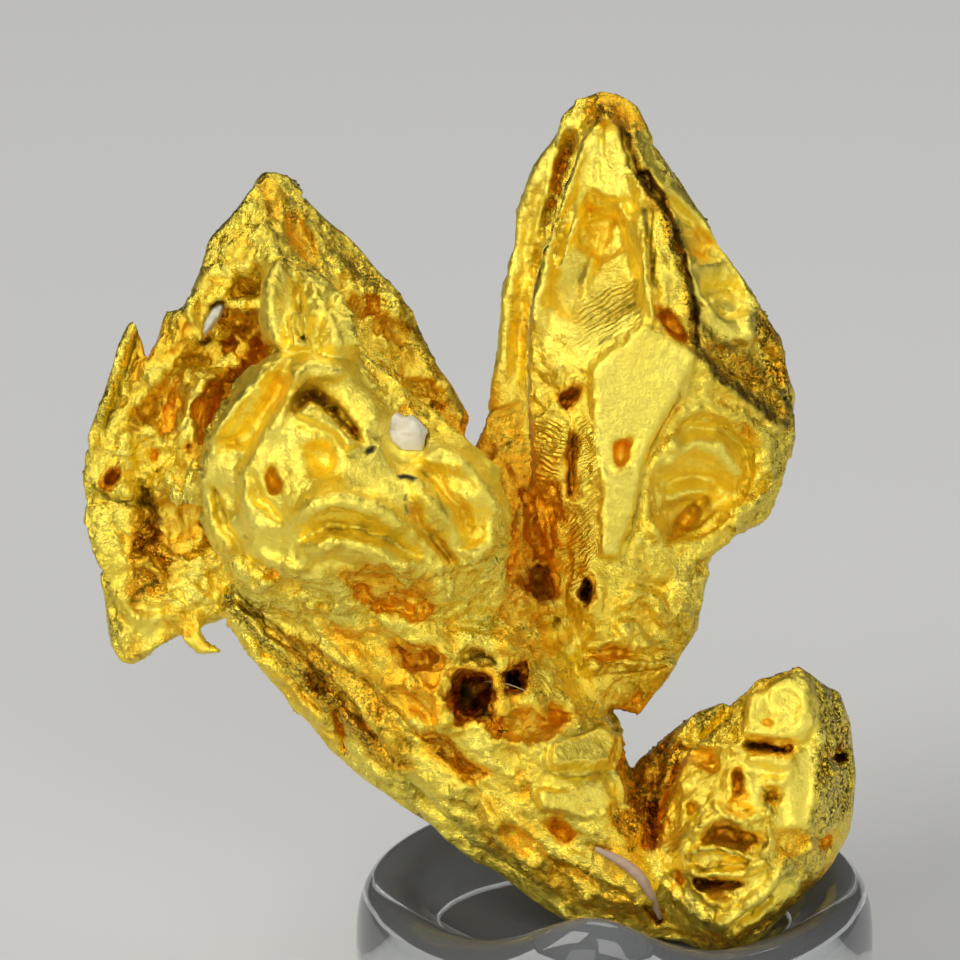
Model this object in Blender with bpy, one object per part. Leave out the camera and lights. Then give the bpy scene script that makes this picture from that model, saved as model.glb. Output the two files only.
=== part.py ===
"""A natural gold specimen: skeletal gold crystals grown together, two quartz grains, and a clear pad.

Sizes are in millimetres. The crystals' corners are counted in fine steps, across from the left, down from the
top and back from the front. spot() turns them into millimetres in the group's own frame (right, back, up),
which leans back from upright in the pad. place() then turns those into metres in the pad's frame.
"""

import math

import bmesh
import bpy
from mathutils import Vector
from mathutils.bvhtree import BVHTree

MM = 0.001
GROUP_WIDTH = 9.75  # of the whole growth, from its left rim to its right
STEPS_ACROSS = 780  # the same width, in the steps that the corners are counted in
STEP = GROUP_WIDTH / STEPS_ACROSS
FOOT_ACROSS = 616  # where the group frame's origin lies, in steps
FOOT_DOWN = 925
LEAN_DEG = 20.0
FOOT = (0.0, -1.6, 2.984)  # the group frame's origin, in the pad's frame
GAP = 0.06  # between the gold and its socket in the pad

PAD_RADIUS = 3.27
PAD_HEIGHT = 2.98
LIP_RADIUS = 2.9
DISH_RADIUS = 2.3
DISH_FLOOR = 2.6
WAVE_HEIGHT = 0.6  # of the lip in front of the foot, above the rest of the lip
WAVE_PLACE = -0.3
WAVE_WIDTH = 0.95
PAD_SIDES = 48

SMALLEST_STEPPED_FACE = 0.55  # square millimetres
LEDGE_SHARE = 0.16  # of a face's inner radius, for each ledge
WALL_SHARE = 0.03
LEDGE_DROP = 0.07
STEPPED_BEYOND = -0.25  # a face turned further to the front than this is left for the pits
PROUD = 0.12  # how far in front of a face a cutter starts, and how deep a ridge is rooted

# Each crystal's corners (across, down, back), after the number of ledges down each of its faces.
CRYSTALS = {
    "tall_crystal": (
        2,
        [
            (600, 90, 110), (604, 114, 55), (640, 180, 35), (556, 205, 40), (533, 285, 28),
            (527, 400, 40), (532, 490, 60), (646, 325, 0), (587, 368, 8), (600, 560, 8),
            (698, 350, 15), (662, 150, 95), (735, 255, 115), (788, 350, 120), (801, 440, 110),
            (775, 512, 95), (708, 562, 60), (700, 620, 95), (640, 722, 80), (590, 705, 35),
            (558, 620, 45), (560, 300, 190), (680, 290, 215), (745, 430, 205), (650, 600, 200),
            (560, 500, 200),
        ],
    ),
    "rear_blade": (
        1,
        [
            (595, 92, 125), (560, 128, 150), (520, 200, 170), (499, 330, 180), (486, 408, 175),
            (500, 450, 170), (545, 175, 150), (545, 300, 165), (530, 430, 150), (585, 100, 175),
            (530, 210, 205), (512, 335, 215), (500, 410, 210), (540, 450, 210),
        ],
    ),
    "hopper_crystal": (
        2,
        [
            (265, 172, 40), (300, 192, 50), (325, 215, 60), (345, 252, 60), (400, 293, 60),
            (471, 415, 70), (462, 440, 60), (440, 520, 60), (248, 187, 30), (209, 238, 10),
            (190, 310, 10), (152, 350, 0), (85, 455, 10), (80, 515, 10), (97, 575, 10),
            (125, 664, 20), (150, 650, 30), (220, 612, 20), (270, 250, -20), (200, 300, 190),
            (330, 300, 220), (400, 420, 230), (110, 480, 150), (150, 600, 140), (300, 560, 230),
            (270, 220, 150),
        ],
    ),
    "spike": (
        0,
        [
            (131, 316, 18), (119, 345, 10), (107, 400, 0), (88, 440, 0), (100, 470, 10),
            (150, 372, 20), (136, 328, 18), (131, 320, 42), (118, 360, 50), (95, 440, 60),
            (145, 378, 50),
        ],
    ),
    "side_knob": (
        0,
        [
            (165, 330, 20), (176, 316, 25), (200, 318, 30), (158, 345, 20), (150, 365, 30),
            (205, 350, 30), (170, 325, 60), (200, 350, 80), (155, 360, 60),
        ],
    ),
    "front_crystal": (
        2,
        [
            (300, 345, -100), (360, 352, -90), (250, 365, -110), (218, 415, -105), (204, 470, -95),
            (212, 535, -80), (235, 592, -40), (395, 385, -95), (420, 430, -115), (470, 440, -110),
            (500, 465, -105), (513, 520, -85), (503, 600, -60), (470, 655, -40), (300, 430, -185),
            (330, 510, -205), (420, 500, -180), (470, 500, -150), (300, 570, -165),
            (400, 590, -150), (260, 480, -170), (250, 400, 60), (500, 480, 60), (480, 640, 80),
            (240, 560, 60), (300, 350, 40),
        ],
    ),
    "left_blade": (
        0,
        [
            (283, 258, -35), (268, 290, -75), (262, 330, -95), (285, 345, -110), (300, 300, -80),
            (300, 342, -100), (275, 300, 0), (290, 350, 0), (262, 345, -10), (295, 280, -10),
        ],
    ),
    "right_blade": (
        0,
        [
            (300, 262, -35), (330, 285, -70), (352, 325, -95), (356, 352, -100), (310, 300, -85),
            (312, 345, -115), (335, 352, -120), (300, 300, 0), (355, 350, 0), (330, 300, 10),
        ],
    ),
    "neck": (
        0,
        [
            (560, 840, -10), (560, 915, 10), (600, 935, 20), (680, 945, 20), (690, 880, -20),
            (660, 850, -10), (620, 850, -10), (600, 860, 100), (600, 935, 110), (690, 930, 120),
            (690, 860, 110),
        ],
    ),
    "foot_block": (
        1,
        [
            (548, 742, -30), (600, 728, -20), (622, 735, 0), (612, 765, -10), (606, 782, -5),
            (622, 802, -10), (612, 822, 0), (600, 848, 0), (545, 820, -20), (535, 795, -30),
            (540, 765, -35), (560, 790, -55), (590, 800, -50), (570, 750, -50), (600, 745, -40),
            (560, 760, 80), (610, 780, 80), (560, 830, 80),
        ],
    ),
    "small_crystal": (
        2,
        [
            (757, 676, -10), (798, 663, 0), (818, 677, 10), (842, 692, 40), (853, 722, 60),
            (860, 790, 70), (856, 835, 80), (840, 868, 70), (800, 900, 50), (755, 942, 30),
            (715, 956, 20), (680, 945, 20), (664, 905, 10), (652, 862, 0), (668, 812, -5),
            (682, 765, -10), (700, 742, -5), (748, 700, -15), (740, 740, -45), (820, 700, -25),
            (815, 790, -45), (690, 870, -60), (720, 920, -50), (780, 870, -55), (740, 800, -60),
            (790, 700, 190), (840, 800, 190), (760, 900, 180), (690, 820, 190), (720, 730, 170),
        ],
    ),
    "small_tail": (
        1,
        [
            (690, 742, 60), (700, 712, 90), (730, 700, 90), (640, 760, 110), (618, 820, 120),
            (625, 850, 90), (680, 860, 80), (680, 780, 200), (640, 830, 210), (700, 760, 210),
        ],
    ),
    "arm": (
        2,
        [
            (222, 612, -30), (215, 590, 40), (300, 560, -90), (260, 668, 10), (330, 752, 10),
            (372, 775, -10), (402, 800, 0), (440, 832, 20), (478, 866, 20), (556, 915, 20),
            (640, 945, 30), (660, 900, -30), (640, 850, -20), (560, 800, -20), (500, 640, -70),
            (420, 620, -100), (400, 760, -50), (520, 840, -30), (600, 700, 60), (560, 560, 120),
            (300, 560, 120), (330, 740, 110), (470, 850, 120), (620, 930, 120), (620, 730, 150),
        ],
    ),
    "web": (
        0,
        [
            (488, 410, 150), (530, 402, 150), (545, 440, 110), (600, 500, 80), (610, 700, 60),
            (560, 738, 50), (470, 740, 60), (430, 700, 60), (450, 560, 80), (470, 470, 120),
            (490, 420, 220), (560, 440, 220), (600, 600, 180), (560, 738, 130), (440, 715, 150),
            (450, 560, 200),
        ],
    ),
    "hook_root": (
        0,
        [
            (168, 612, 10), (198, 614, 10), (206, 643, 8), (184, 647, 8), (172, 612, 30),
            (196, 616, 30), (204, 642, 22), (187, 645, 22),
        ],
    ),
    "hook": (
        0,
        [
            (184, 640, 8), (205, 642, 8), (222, 648, 8), (221, 655, 8), (198, 656, 8),
            (186, 643, 24), (206, 643, 22), (220, 650, 18), (200, 654, 22),
        ],
    ),
    "inner_block_1": (
        0,
        [
            (182, 380, 26), (213, 377, 30), (208, 442, 36), (172, 440, 30), (178, 376, 100),
            (216, 374, 100), (212, 446, 100), (168, 446, 100),
        ],
    ),
    "inner_block_2": (
        0,
        [
            (136, 370, 16), (162, 370, 20), (162, 396, 24), (138, 400, 20), (132, 366, 100),
            (166, 366, 100), (166, 400, 100), (134, 404, 100),
        ],
    ),
    "inner_block_3": (
        0,
        [
            (118, 432, 6), (150, 416, 10), (166, 446, 20), (150, 470, 16), (118, 480, 10),
            (112, 428, 100), (150, 410, 100), (172, 446, 100), (152, 478, 100), (112, 484, 100),
        ],
    ),
    "inner_block_4": (
        0,
        [
            (148, 484, 10), (202, 474, 16), (204, 500, 24), (160, 504, 20), (142, 480, 100),
            (208, 470, 100), (208, 506, 100), (156, 510, 100),
        ],
    ),
    "inner_block_5": (
        0,
        [
            (162, 506, 40), (206, 508, 40), (202, 562, 44), (166, 556, 44), (158, 500, 100),
            (210, 502, 100), (208, 568, 100), (160, 562, 100),
        ],
    ),
    "inner_block_6": (
        0,
        [
            (200, 338, 20), (226, 344, 24), (252, 364, 28), (214, 372, 24), (196, 334, 100),
            (230, 338, 100), (258, 366, 100), (212, 378, 100),
        ],
    ),
    "inner_block_7": (
        0,
        [
            (222, 372, 20), (250, 360, 20), (262, 300, 30), (256, 262, 30), (240, 372, 40),
            (222, 372, 100), (262, 360, 100), (272, 300, 100), (266, 262, 100),
        ],
    ),
}

# The hollows that the inner blocks stand in: the floor's share of the mouth, and (across, down, drop).
MOUTHS = {
    "tall_crystal": [
        ("hood", 0.8, [
            (590, 150, 30), (620, 150, 30), (640, 205, 45), (650, 290, 30), (640, 318, 14),
            (600, 334, 14), (556, 322, 24), (542, 290, 34), (556, 222, 50),
        ]),
    ],
    "hopper_crystal": [
        ("hopper_mouth", 0.85, [
            (150, 385, 70), (200, 335, 70), (262, 300, 70), (280, 360, 80), (236, 420, 90),
            (212, 470, 90), (212, 556, 90), (160, 566, 80), (130, 500, 70), (126, 425, 70),
        ]),
        ("apex_step", 0.8, [(232, 268, 34), (262, 262, 40), (268, 300, 44), (222, 306, 40)]),
    ],
}

# The pits in each crystal's front: the floor's share of the mouth, and corners (across, down, drop).
PITS = {
    "tall_crystal": [
        ("hood_top", 0.85, [
            (581, 208, 85), (622, 214, 85), (632, 245, 75), (604, 262, 60), (578, 246, 75),
        ]),
        ("wing", 0.85, [
            (660, 182, 16), (700, 212, 18), (745, 278, 18), (762, 318, 18), (720, 318, 22),
            (694, 262, 18), (676, 220, 16),
        ]),
        ("wing_floor", 0.8, [
            (700, 262, 34), (738, 280, 34), (756, 318, 34), (724, 318, 36), (700, 290, 34),
        ]),
        ("shoulder", 0.75, [
            (700, 345, 20), (745, 362, 24), (762, 330, 22), (784, 352, 20), (796, 396, 18),
            (760, 384, 22), (728, 378, 20),
        ]),
        ("scoop", 0.85, [
            (655, 452, 16), (690, 420, 18), (735, 418, 18), (762, 448, 18), (756, 490, 20),
            (735, 520, 20), (700, 545, 22), (668, 548, 20), (648, 520, 16), (645, 480, 12),
        ]),
        ("scoop_floor", 0.8, [
            (660, 482, 34), (700, 470, 34), (728, 484, 36), (728, 505, 40), (700, 530, 44),
            (670, 540, 40), (656, 518, 34),
        ]),
        ("scoop_slit", 0.8, [
            (700, 500, 62), (706, 506, 62), (682, 540, 62), (672, 542, 58), (680, 520, 62),
        ]),
        ("rim_pit", 0.6, [(745, 425, 28), (752, 428, 28), (758, 440, 30), (750, 440, 30)]),
        ("rim_slot", 0.6, [(770, 470, 26), (775, 480, 26), (756, 502, 26), (752, 494, 26)]),
        ("facet_pit", 0.6, [(613, 444, 22), (633, 436, 16), (626, 460, 24), (618, 468, 28)]),
        ("side_hole", 0.6, [(556, 398, 30), (580, 390, 30), (568, 412, 34)]),
        ("side_slit", 0.8, [
            (571, 432, 40), (576, 440, 40), (575, 495, 44), (568, 500, 44), (566, 470, 40),
        ]),
        ("oval_hole", 0.8, [
            (582, 580, 40), (590, 578, 40), (593, 598, 40), (588, 606, 40), (582, 598, 40),
        ]),
        ("ridge_pit", 0.7, [(658, 308, 24), (672, 312, 24), (690, 345, 20), (676, 340, 22)]),
        ("low_slot", 0.7, [(585, 662, 16), (625, 650, 16), (640, 652, 14), (625, 664, 14)]),
        ("low_hole", 0.7, [(600, 716, 24), (612, 710, 24), (618, 718, 24), (606, 722, 24)]),
    ],
    "hopper_crystal": [
        ("wall_step_1", 0.7, [(345, 298, 24), (380, 292, 24), (384, 310, 24), (352, 318, 24)]),
        ("wall_step_2", 0.75, [(375, 318, 26), (395, 312, 22), (430, 350, 22), (410, 355, 26)]),
        ("wall_step_3", 0.75, [(395, 378, 24), (445, 382, 22), (440, 398, 22), (400, 400, 24)]),
        ("wall_hole", 0.75, [
            (418, 398, 42), (430, 405, 38), (448, 412, 38), (440, 418, 42), (420, 412, 42),
        ]),
        ("dark_steps", 0.75, [
            (285, 205, 12), (300, 215, 14), (340, 270, 14), (330, 278, 14), (300, 262, 14),
            (288, 235, 14),
        ]),
        ("rim_pit_left", 0.7, [(108, 462, 34), (118, 460, 34), (120, 488, 34), (104, 488, 34)]),
        ("rim_cavity", 0.75, [(140, 512, 40), (158, 515, 40), (160, 558, 44), (132, 556, 40)]),
    ],
    "front_crystal": [
        ("arch_left", 0.8, [
            (290, 412, 34), (300, 394, 44), (322, 392, 44), (332, 402, 44), (312, 410, 40),
        ]),
        ("arch_right", 0.8, [
            (322, 392, 44), (345, 406, 42), (366, 434, 36), (358, 441, 36), (338, 422, 40),
        ]),
        ("bowl", 0.5, [(300, 440, 14), (345, 440, 14), (340, 475, 14), (310, 478, 14)]),
        ("left_pit", 0.6, [
            (266, 472, 22), (275, 465, 22), (287, 488, 22), (280, 492, 22), (268, 490, 22),
        ]),
        ("lower_hollow", 0.75, [
            (338, 575, 22), (370, 565, 26), (420, 575, 24), (440, 600, 18), (420, 622, 18),
            (375, 612, 20), (350, 595, 20),
        ]),
        ("speck_1", 0.6, [(400, 474, 26), (415, 474, 26), (412, 485, 26), (403, 485, 26)]),
        ("speck_2", 0.6, [(366, 448, 22), (376, 446, 22), (375, 457, 22), (366, 457, 22)]),
    ],
    "arm": [
        ("arm_hollow_1", 0.75, [(388, 642, 26), (440, 645, 26), (445, 668, 24), (405, 672, 26)]),
        ("deep_hole", 0.8, [
            (455, 672, 90), (492, 672, 90), (500, 700, 90), (480, 722, 90), (456, 716, 90),
            (447, 695, 90),
        ]),
        ("second_hole", 0.8, [(503, 668, 80), (526, 662, 80), (527, 690, 80), (505, 695, 80)]),
        ("hole_floor", 0.85, [
            (500, 712, 40), (560, 702, 40), (578, 722, 34), (545, 740, 30), (505, 738, 36),
        ]),
        ("arm_hollow_2", 0.8, [
            (410, 735, 20), (440, 728, 20), (470, 758, 24), (490, 775, 24), (470, 780, 22),
            (440, 755, 20),
        ]),
        ("edge_pit", 0.7, [(308, 672, 24), (322, 676, 24), (326, 692, 24), (314, 694, 24)]),
        ("foot_pit", 0.7, [(548, 818, 22), (575, 830, 22), (570, 845, 22), (552, 840, 22)]),
    ],
    "small_crystal": [
        ("lens_pit", 0.7, [(758, 718, 18), (772, 716, 18), (776, 724, 18), (766, 728, 18)]),
        ("slot", 0.8, [(742, 742, 34), (752, 741, 34), (790, 750, 34), (790, 758, 34), (760, 754, 34)]),
        ("pit_1", 0.8, [
            (686, 752, 26), (712, 750, 26), (720, 762, 26), (715, 770, 24), (690, 762, 24),
        ]),
        ("pit_2", 0.8, [(733, 772, 24), (744, 772, 24), (741, 796, 24), (730, 796, 24)]),
        ("pit_3", 0.7, [(762, 788, 20), (778, 785, 20), (780, 805, 20), (764, 810, 20)]),
        ("pit_4", 0.6, [(722, 806, 14), (740, 800, 12), (760, 806, 14), (740, 814, 14)]),
        ("pit_5", 0.7, [(690, 800, 20), (699, 798, 20), (700, 818, 20), (688, 815, 20)]),
        ("mouth", 0.8, [
            (705, 828, 36), (722, 818, 36), (748, 830, 36), (756, 848, 34), (735, 850, 30),
            (712, 842, 34),
        ]),
        ("mouth_slot", 0.85, [
            (690, 873, 36), (705, 878, 36), (740, 877, 36), (742, 885, 36), (715, 890, 36),
            (692, 887, 36),
        ]),
        ("pit_6", 0.7, [(673, 868, 26), (684, 868, 26), (686, 886, 26), (674, 884, 26)]),
        ("notch", 0.7, [(828, 752, 34), (848, 748, 34), (850, 768, 34), (834, 776, 34)]),
        ("pit_7", 0.7, [(812, 838, 22), (835, 835, 22), (832, 849, 22), (815, 849, 22)]),
    ],
}

# The grooves: width, depth, and the line along the front (across, down).
GROOVES = {
    "tall_crystal": [
        ("long_groove", 9, 26, [
            (622, 122), (632, 150), (642, 172), (656, 192), (672, 222), (682, 255), (694, 300),
            (698, 345),
        ]),
        ("ridge_groove", 8, 14, [(644, 208), (652, 250), (655, 285), (662, 318)]),
        ("lobe_groove", 14, 16, [(618, 612), (640, 596), (690, 576), (712, 560)]),
        ("low_groove", 6, 16, [(573, 662), (582, 645), (600, 630)]),
    ],
    "hopper_crystal": [
        ("apex_groove", 10, 12, [(268, 176), (270, 200), (282, 222)]),
        ("left_step", 8, 12, [(92, 480), (110, 500), (150, 505)]),
    ],
    "front_crystal": [
        ("loop_groove_1", 12, 14, [(288, 368), (272, 405), (250, 432), (228, 450)]),
        ("loop_groove_2", 8, 10, [(262, 432), (248, 470), (250, 520), (262, 560)]),
        ("edge_slit", 6, 16, [(215, 488), (220, 505), (225, 522)]),
        ("step_groove_1", 10, 12, [(300, 530), (345, 528), (400, 545)]),
        ("step_groove_2", 8, 10, [(320, 560), (345, 562), (400, 572)]),
        ("lobe_groove_1", 8, 20, [(418, 520), (432, 542), (448, 560)]),
        ("lobe_groove_2", 8, 12, [(430, 480), (455, 500), (470, 525)]),
    ],
    "arm": [
        ("edge_slot", 10, 20, [(330, 702), (338, 725), (346, 750)]),
        ("arm_groove", 10, 12, [(262, 622), (310, 668), (345, 700), (378, 748)]),
        ("arm_step", 8, 12, [(420, 775), (450, 800), (480, 830), (520, 850)]),
    ],
    "foot_block": [
        ("foot_groove", 12, 12, [(545, 768), (612, 771)]),
    ],
}

# The ridges: width, height, and the line along the front (across, down).
RIDGES = {
    "front_crystal": [
        ("step_ridge_1", 22, 12, [(302, 518), (320, 502), (345, 498), (375, 506), (402, 522)]),
        ("step_ridge_2", 18, 9, [(314, 548), (340, 541), (385, 550), (412, 564)]),
        ("lobe_ridge", 20, 12, [(428, 458), (462, 470), (490, 505), (488, 540), (462, 556)]),
        ("loop_ridge", 20, 10, [(284, 362), (262, 396), (228, 432), (212, 476), (218, 530)]),
    ],
    "arm": [
        ("arm_ridge_1", 14, 8, [(385, 680), (430, 690), (445, 720)]),
        ("arm_ridge_2", 14, 8, [(440, 790), (480, 800), (500, 830)]),
        ("arm_ridge_3", 16, 8, [(500, 845), (530, 860), (552, 885)]),
    ],
    "small_crystal": [
        ("lip_ridge_1", 9, 7, [(692, 852), (710, 844), (742, 857), (764, 862)]),
        ("lip_ridge_2", 8, 6, [(694, 868), (720, 872), (748, 867), (765, 860)]),
        ("rib_1", 9, 6, [(738, 905), (765, 878), (778, 864)]),
        ("rib_2", 8, 6, [(752, 924), (782, 896), (794, 878)]),
        ("brow", 10, 7, [(684, 806), (682, 780), (692, 776)]),
    ],
}

# The flat facets that stand a little proud: height, and corners (across, down).
FACETS = {
    "tall_crystal": [
        ("upper_facet", 5, [
            (645, 326), (588, 368), (592, 405), (660, 420), (682, 395), (698, 352), (670, 335),
        ]),
        ("lower_facet", 5, [
            (592, 400), (600, 470), (598, 505), (602, 558), (622, 558), (640, 500), (645, 460),
            (662, 418),
        ]),
    ],
    "small_crystal": [
        ("lens", 6, [
            (745, 690), (780, 674), (805, 674), (818, 695), (815, 722), (795, 738), (748, 735),
        ]),
    ],
}

# What the crystals' outline keeps clear of, all the way through from front to back (across, down).
NOTCHES = {
    "left_shoulder": [(200, 282), (188, 312), (120, 312), (150, 200), (206, 240)],
    "left_cleft": [(140, 322), (146, 345), (143, 370), (150, 362), (158, 340), (163, 320)],
    "right_waist": [(776, 516), (740, 533), (712, 557), (706, 600), (700, 625), (800, 625), (824, 516)],
}
NOTCH_FROM, NOTCH_TO = -240, 320  # steps back from the front

# Two grains of quartz: the middle (across, down, back), the size each way in millimetres, and the turn.
GRAINS = {
    "quartz_grain": ((405, 440, -122), (0.6, 0.5, 0.58), 20.0),
    "quartz_sliver": ((210, 322, 13), (0.15, 0.14, 0.56), -33.0),
}
GRAIN_GAP = 0.03
GRAIN_CORNERS = 26
GRAIN_WEAR = 0.12  # share of the size that the corners vary by
GOLDEN_TURN = math.pi * (3 - math.sqrt(5))  # between one corner and the next, so that they spread evenly

PART = bpy.data.collections.new("gold_specimen")
TOOLS = bpy.data.collections.new("construction")
GROWN = bpy.data.collections.new("grown_together")
MOUTH_CUTS = bpy.data.collections.new("mouth_cuts")
INNER = bpy.data.collections.new("inner_growth")
HOLLOWS = bpy.data.collections.new("hollows")
SOCKET = bpy.data.collections.new("socket")


def clear_scene():
    for old in list(bpy.data.objects):
        bpy.data.objects.remove(old)


def spot(across, down, back=0):
    """A corner counted in steps, as (right, back, up) in millimetres."""
    return (across - FOOT_ACROSS) * STEP, back * STEP, (FOOT_DOWN - down) * STEP


def flat(across, down):
    """A corner without its depth, as (right, up) in millimetres."""
    right, _, up = spot(across, down)
    return right, up


def direction(right, back, up):
    lean = math.radians(LEAN_DEG)
    return Vector(
        (
            right,
            back * math.cos(lean) + up * math.sin(lean),
            up * math.cos(lean) - back * math.sin(lean),
        )
    )


def place(right, back, up):
    """A point of the group's frame, in millimetres, as a place in the part, in metres."""
    return (direction(right, back, up) + Vector(FOOT)) * MM


def material(name, colour, roughness, metallic=0.0, transmission=0.0):
    made = bpy.data.materials.new(name)
    made.use_nodes = True
    shader = made.node_tree.nodes["Principled BSDF"]
    shader.inputs["Base Color"].default_value = (*colour, 1.0)
    shader.inputs["Roughness"].default_value = roughness
    shader.inputs["Metallic"].default_value = metallic
    shader.inputs["Transmission Weight"].default_value = transmission
    return made


def object_from(mesh, name, collection):
    """The bmesh as an object, its faces flat and pointing outwards."""
    bmesh.ops.triangulate(mesh, faces=mesh.faces)
    bmesh.ops.recalc_face_normals(mesh, faces=mesh.faces)
    data = bpy.data.meshes.new(name)
    mesh.to_mesh(data)
    mesh.free()
    made = bpy.data.objects.new(name, data)
    collection.objects.link(made)
    if collection is not PART:
        made.hide_render = True
        made.display_type = "WIRE"
    return made


def hull(points):
    """The closed, flat-faced form that the points span, with its nearly flat faces made one."""
    mesh = bmesh.new()
    for point in points:
        mesh.verts.new(point)
    made = bmesh.ops.convex_hull(mesh, input=mesh.verts)
    loose = [v for v in made["geom_interior"] if isinstance(v, bmesh.types.BMVert)]
    bmesh.ops.delete(mesh, geom=loose, context="VERTS")
    bmesh.ops.dissolve_limit(
        mesh, angle_limit=math.radians(6), verts=mesh.verts, edges=mesh.edges
    )
    return mesh


def sink_faces(mesh, ledges):
    """Sinks each large face in ledges, because a hopper crystal's edges outgrow the middles of its faces."""
    smallest = SMALLEST_STEPPED_FACE * MM * MM
    back = direction(0, 1, 0)
    mesh.normal_update()
    sunk = [
        f for f in mesh.faces if f.calc_area() > smallest and f.normal.dot(back) > STEPPED_BEYOND
    ]
    for face in sunk:
        reach = 2 * face.calc_area() / face.calc_perimeter()
        for _ in range(ledges):
            bmesh.ops.inset_individual(
                mesh, faces=[face], thickness=LEDGE_SHARE * reach, use_even_offset=True
            )
            bmesh.ops.inset_individual(
                mesh,
                faces=[face],
                thickness=WALL_SHARE * reach,
                depth=-LEDGE_DROP * MM,
                use_even_offset=True,
            )


class Crystal:
    """One crystal's own form, and how far back its front face lies at any (right, up)."""

    def __init__(self, name, corners):
        self.name = name
        self.corners = [place(*spot(*corner)) for corner in corners]
        mesh = hull(self.corners)
        self.tree = BVHTree.FromBMesh(mesh)
        mesh.free()

    def front(self, right, up):
        start = place(right, -12, up)
        back = direction(0, 1, 0)
        hit = self.tree.ray_cast(start, back)[0]
        if hit is None:
            hit = self.tree.find_nearest(place(right, 0, up))[0]
        return (hit - start).dot(back) / MM - 12

    def grow(self, ledges, collection):
        mesh = hull(self.corners)
        sink_faces(mesh, ledges)
        return object_from(mesh, self.name, collection)

    def socket(self):
        """The crystal a gap larger all round, to cut its socket in the pad."""
        middle = sum(self.corners, Vector()) / len(self.corners)
        larger = [c + (c - middle).normalized() * GAP * 1.6 * MM for c in self.corners]
        return object_from(hull(larger), "socket_" + self.name, SOCKET)

    def mouth(self, name, floor_share, corners):
        self.pit(name, floor_share, corners, MOUTH_CUTS)

    def pit(self, name, floor_share, corners, collection=HOLLOWS):
        corners = [spot(*corner) for corner in corners]
        right = sum(c[0] for c in corners) / len(corners)
        up = sum(c[2] for c in corners) / len(corners)
        points = []
        for x, drop, z in corners:
            points.append(place(x, self.front(x, z) - PROUD, z))
            x, z = right + (x - right) * floor_share, up + (z - up) * floor_share
            points.append(place(x, self.front(x, z) + drop, z))
        object_from(hull(points), name, collection)

    def wedges(self, name, line, width, base, tip, collection):
        """A wedge along each stretch of a line: its flat side at the depth base, its edge at tip."""
        line = [flat(*corner) for corner in line]
        for index, (start, end) in enumerate(zip(line, line[1:])):
            along = (Vector(end) - Vector(start)).normalized()
            side = Vector((-along.y, along.x)) * width / 2
            points = []
            for x, z in (Vector(start) - along * width / 4, Vector(end) + along * width / 4):
                points.append(place(x, self.front(x, z) + tip, z))
                for sign in (1, -1):
                    sx, sz = x + sign * side.x, z + sign * side.y
                    points.append(place(sx, self.front(sx, sz) + base, sz))
            object_from(hull(points), f"{name}_{index}", collection)

    def groove(self, name, width, depth, line):
        self.wedges(name, line, width * STEP, -PROUD, depth * STEP, HOLLOWS)

    def ridge(self, name, width, height, line):
        self.wedges(name, line, width * STEP, PROUD, -height * STEP, GROWN)

    def facet(self, name, height, corners):
        corners = [flat(*corner) for corner in corners]
        points = [place(x, self.front(x, z) - height * STEP, z) for x, z in corners]
        points += [place(x, self.front(x, z) + PROUD, z) for x, z in corners]
        object_from(hull(points), name, GROWN)


def boolean(body, operation, collection):
    joined = body.modifiers.new(collection.name, "BOOLEAN")
    joined.operand_type = "COLLECTION"
    joined.collection = collection
    joined.operation = operation
    joined.solver = "MANIFOLD"  # EXACT leaves open edges where this many forms meet


def in_one_piece(body):
    """Keeps the body's largest shell alone: a Boolean can leave a loose chip, or a bubble inside."""
    graph = bpy.context.evaluated_depsgraph_get()
    mesh = bmesh.new()
    mesh.from_mesh(body.evaluated_get(graph).to_mesh())
    shells, seen = [], set()
    for start in mesh.faces:
        if start in seen:
            continue
        shell, waiting = [], [start]
        seen.add(start)
        while waiting:
            face = waiting.pop()
            shell.append(face)
            for other in (f for e in face.edges if e.is_manifold for f in e.link_faces):
                if other not in seen:
                    seen.add(other)
                    waiting.append(other)
        shells.append(shell)
    shells.sort(key=lambda shell: sum(f.calc_area() for f in shell))
    for shell in shells[:-1]:
        bmesh.ops.delete(mesh, geom=shell, context="FACES")
    body.modifiers.clear()
    mesh.to_mesh(body.data)
    mesh.free()


def grain(name, larger=0.0):
    """A worn, many-faced grain, larger all round by the amount given."""
    middle, size, turn_deg = GRAINS[name]
    right, back, up = spot(*middle)
    turn = math.radians(turn_deg)
    points = []
    for index in range(GRAIN_CORNERS):
        z = 1 - 2 * (index + 0.5) / GRAIN_CORNERS
        ring = math.sqrt(1 - z * z)
        angle = index * GOLDEN_TURN
        uneven = 1 - GRAIN_WEAR * math.sin(7.3 * index)
        x, y, z = (
            (size[i] / 2 * uneven + larger) * way
            for i, way in enumerate((ring * math.cos(angle), ring * math.sin(angle), z))
        )
        points.append(
            place(
                right + x * math.cos(turn) - z * math.sin(turn),
                back + y,
                up + x * math.sin(turn) + z * math.cos(turn),
            )
        )
    return hull(points)


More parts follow.
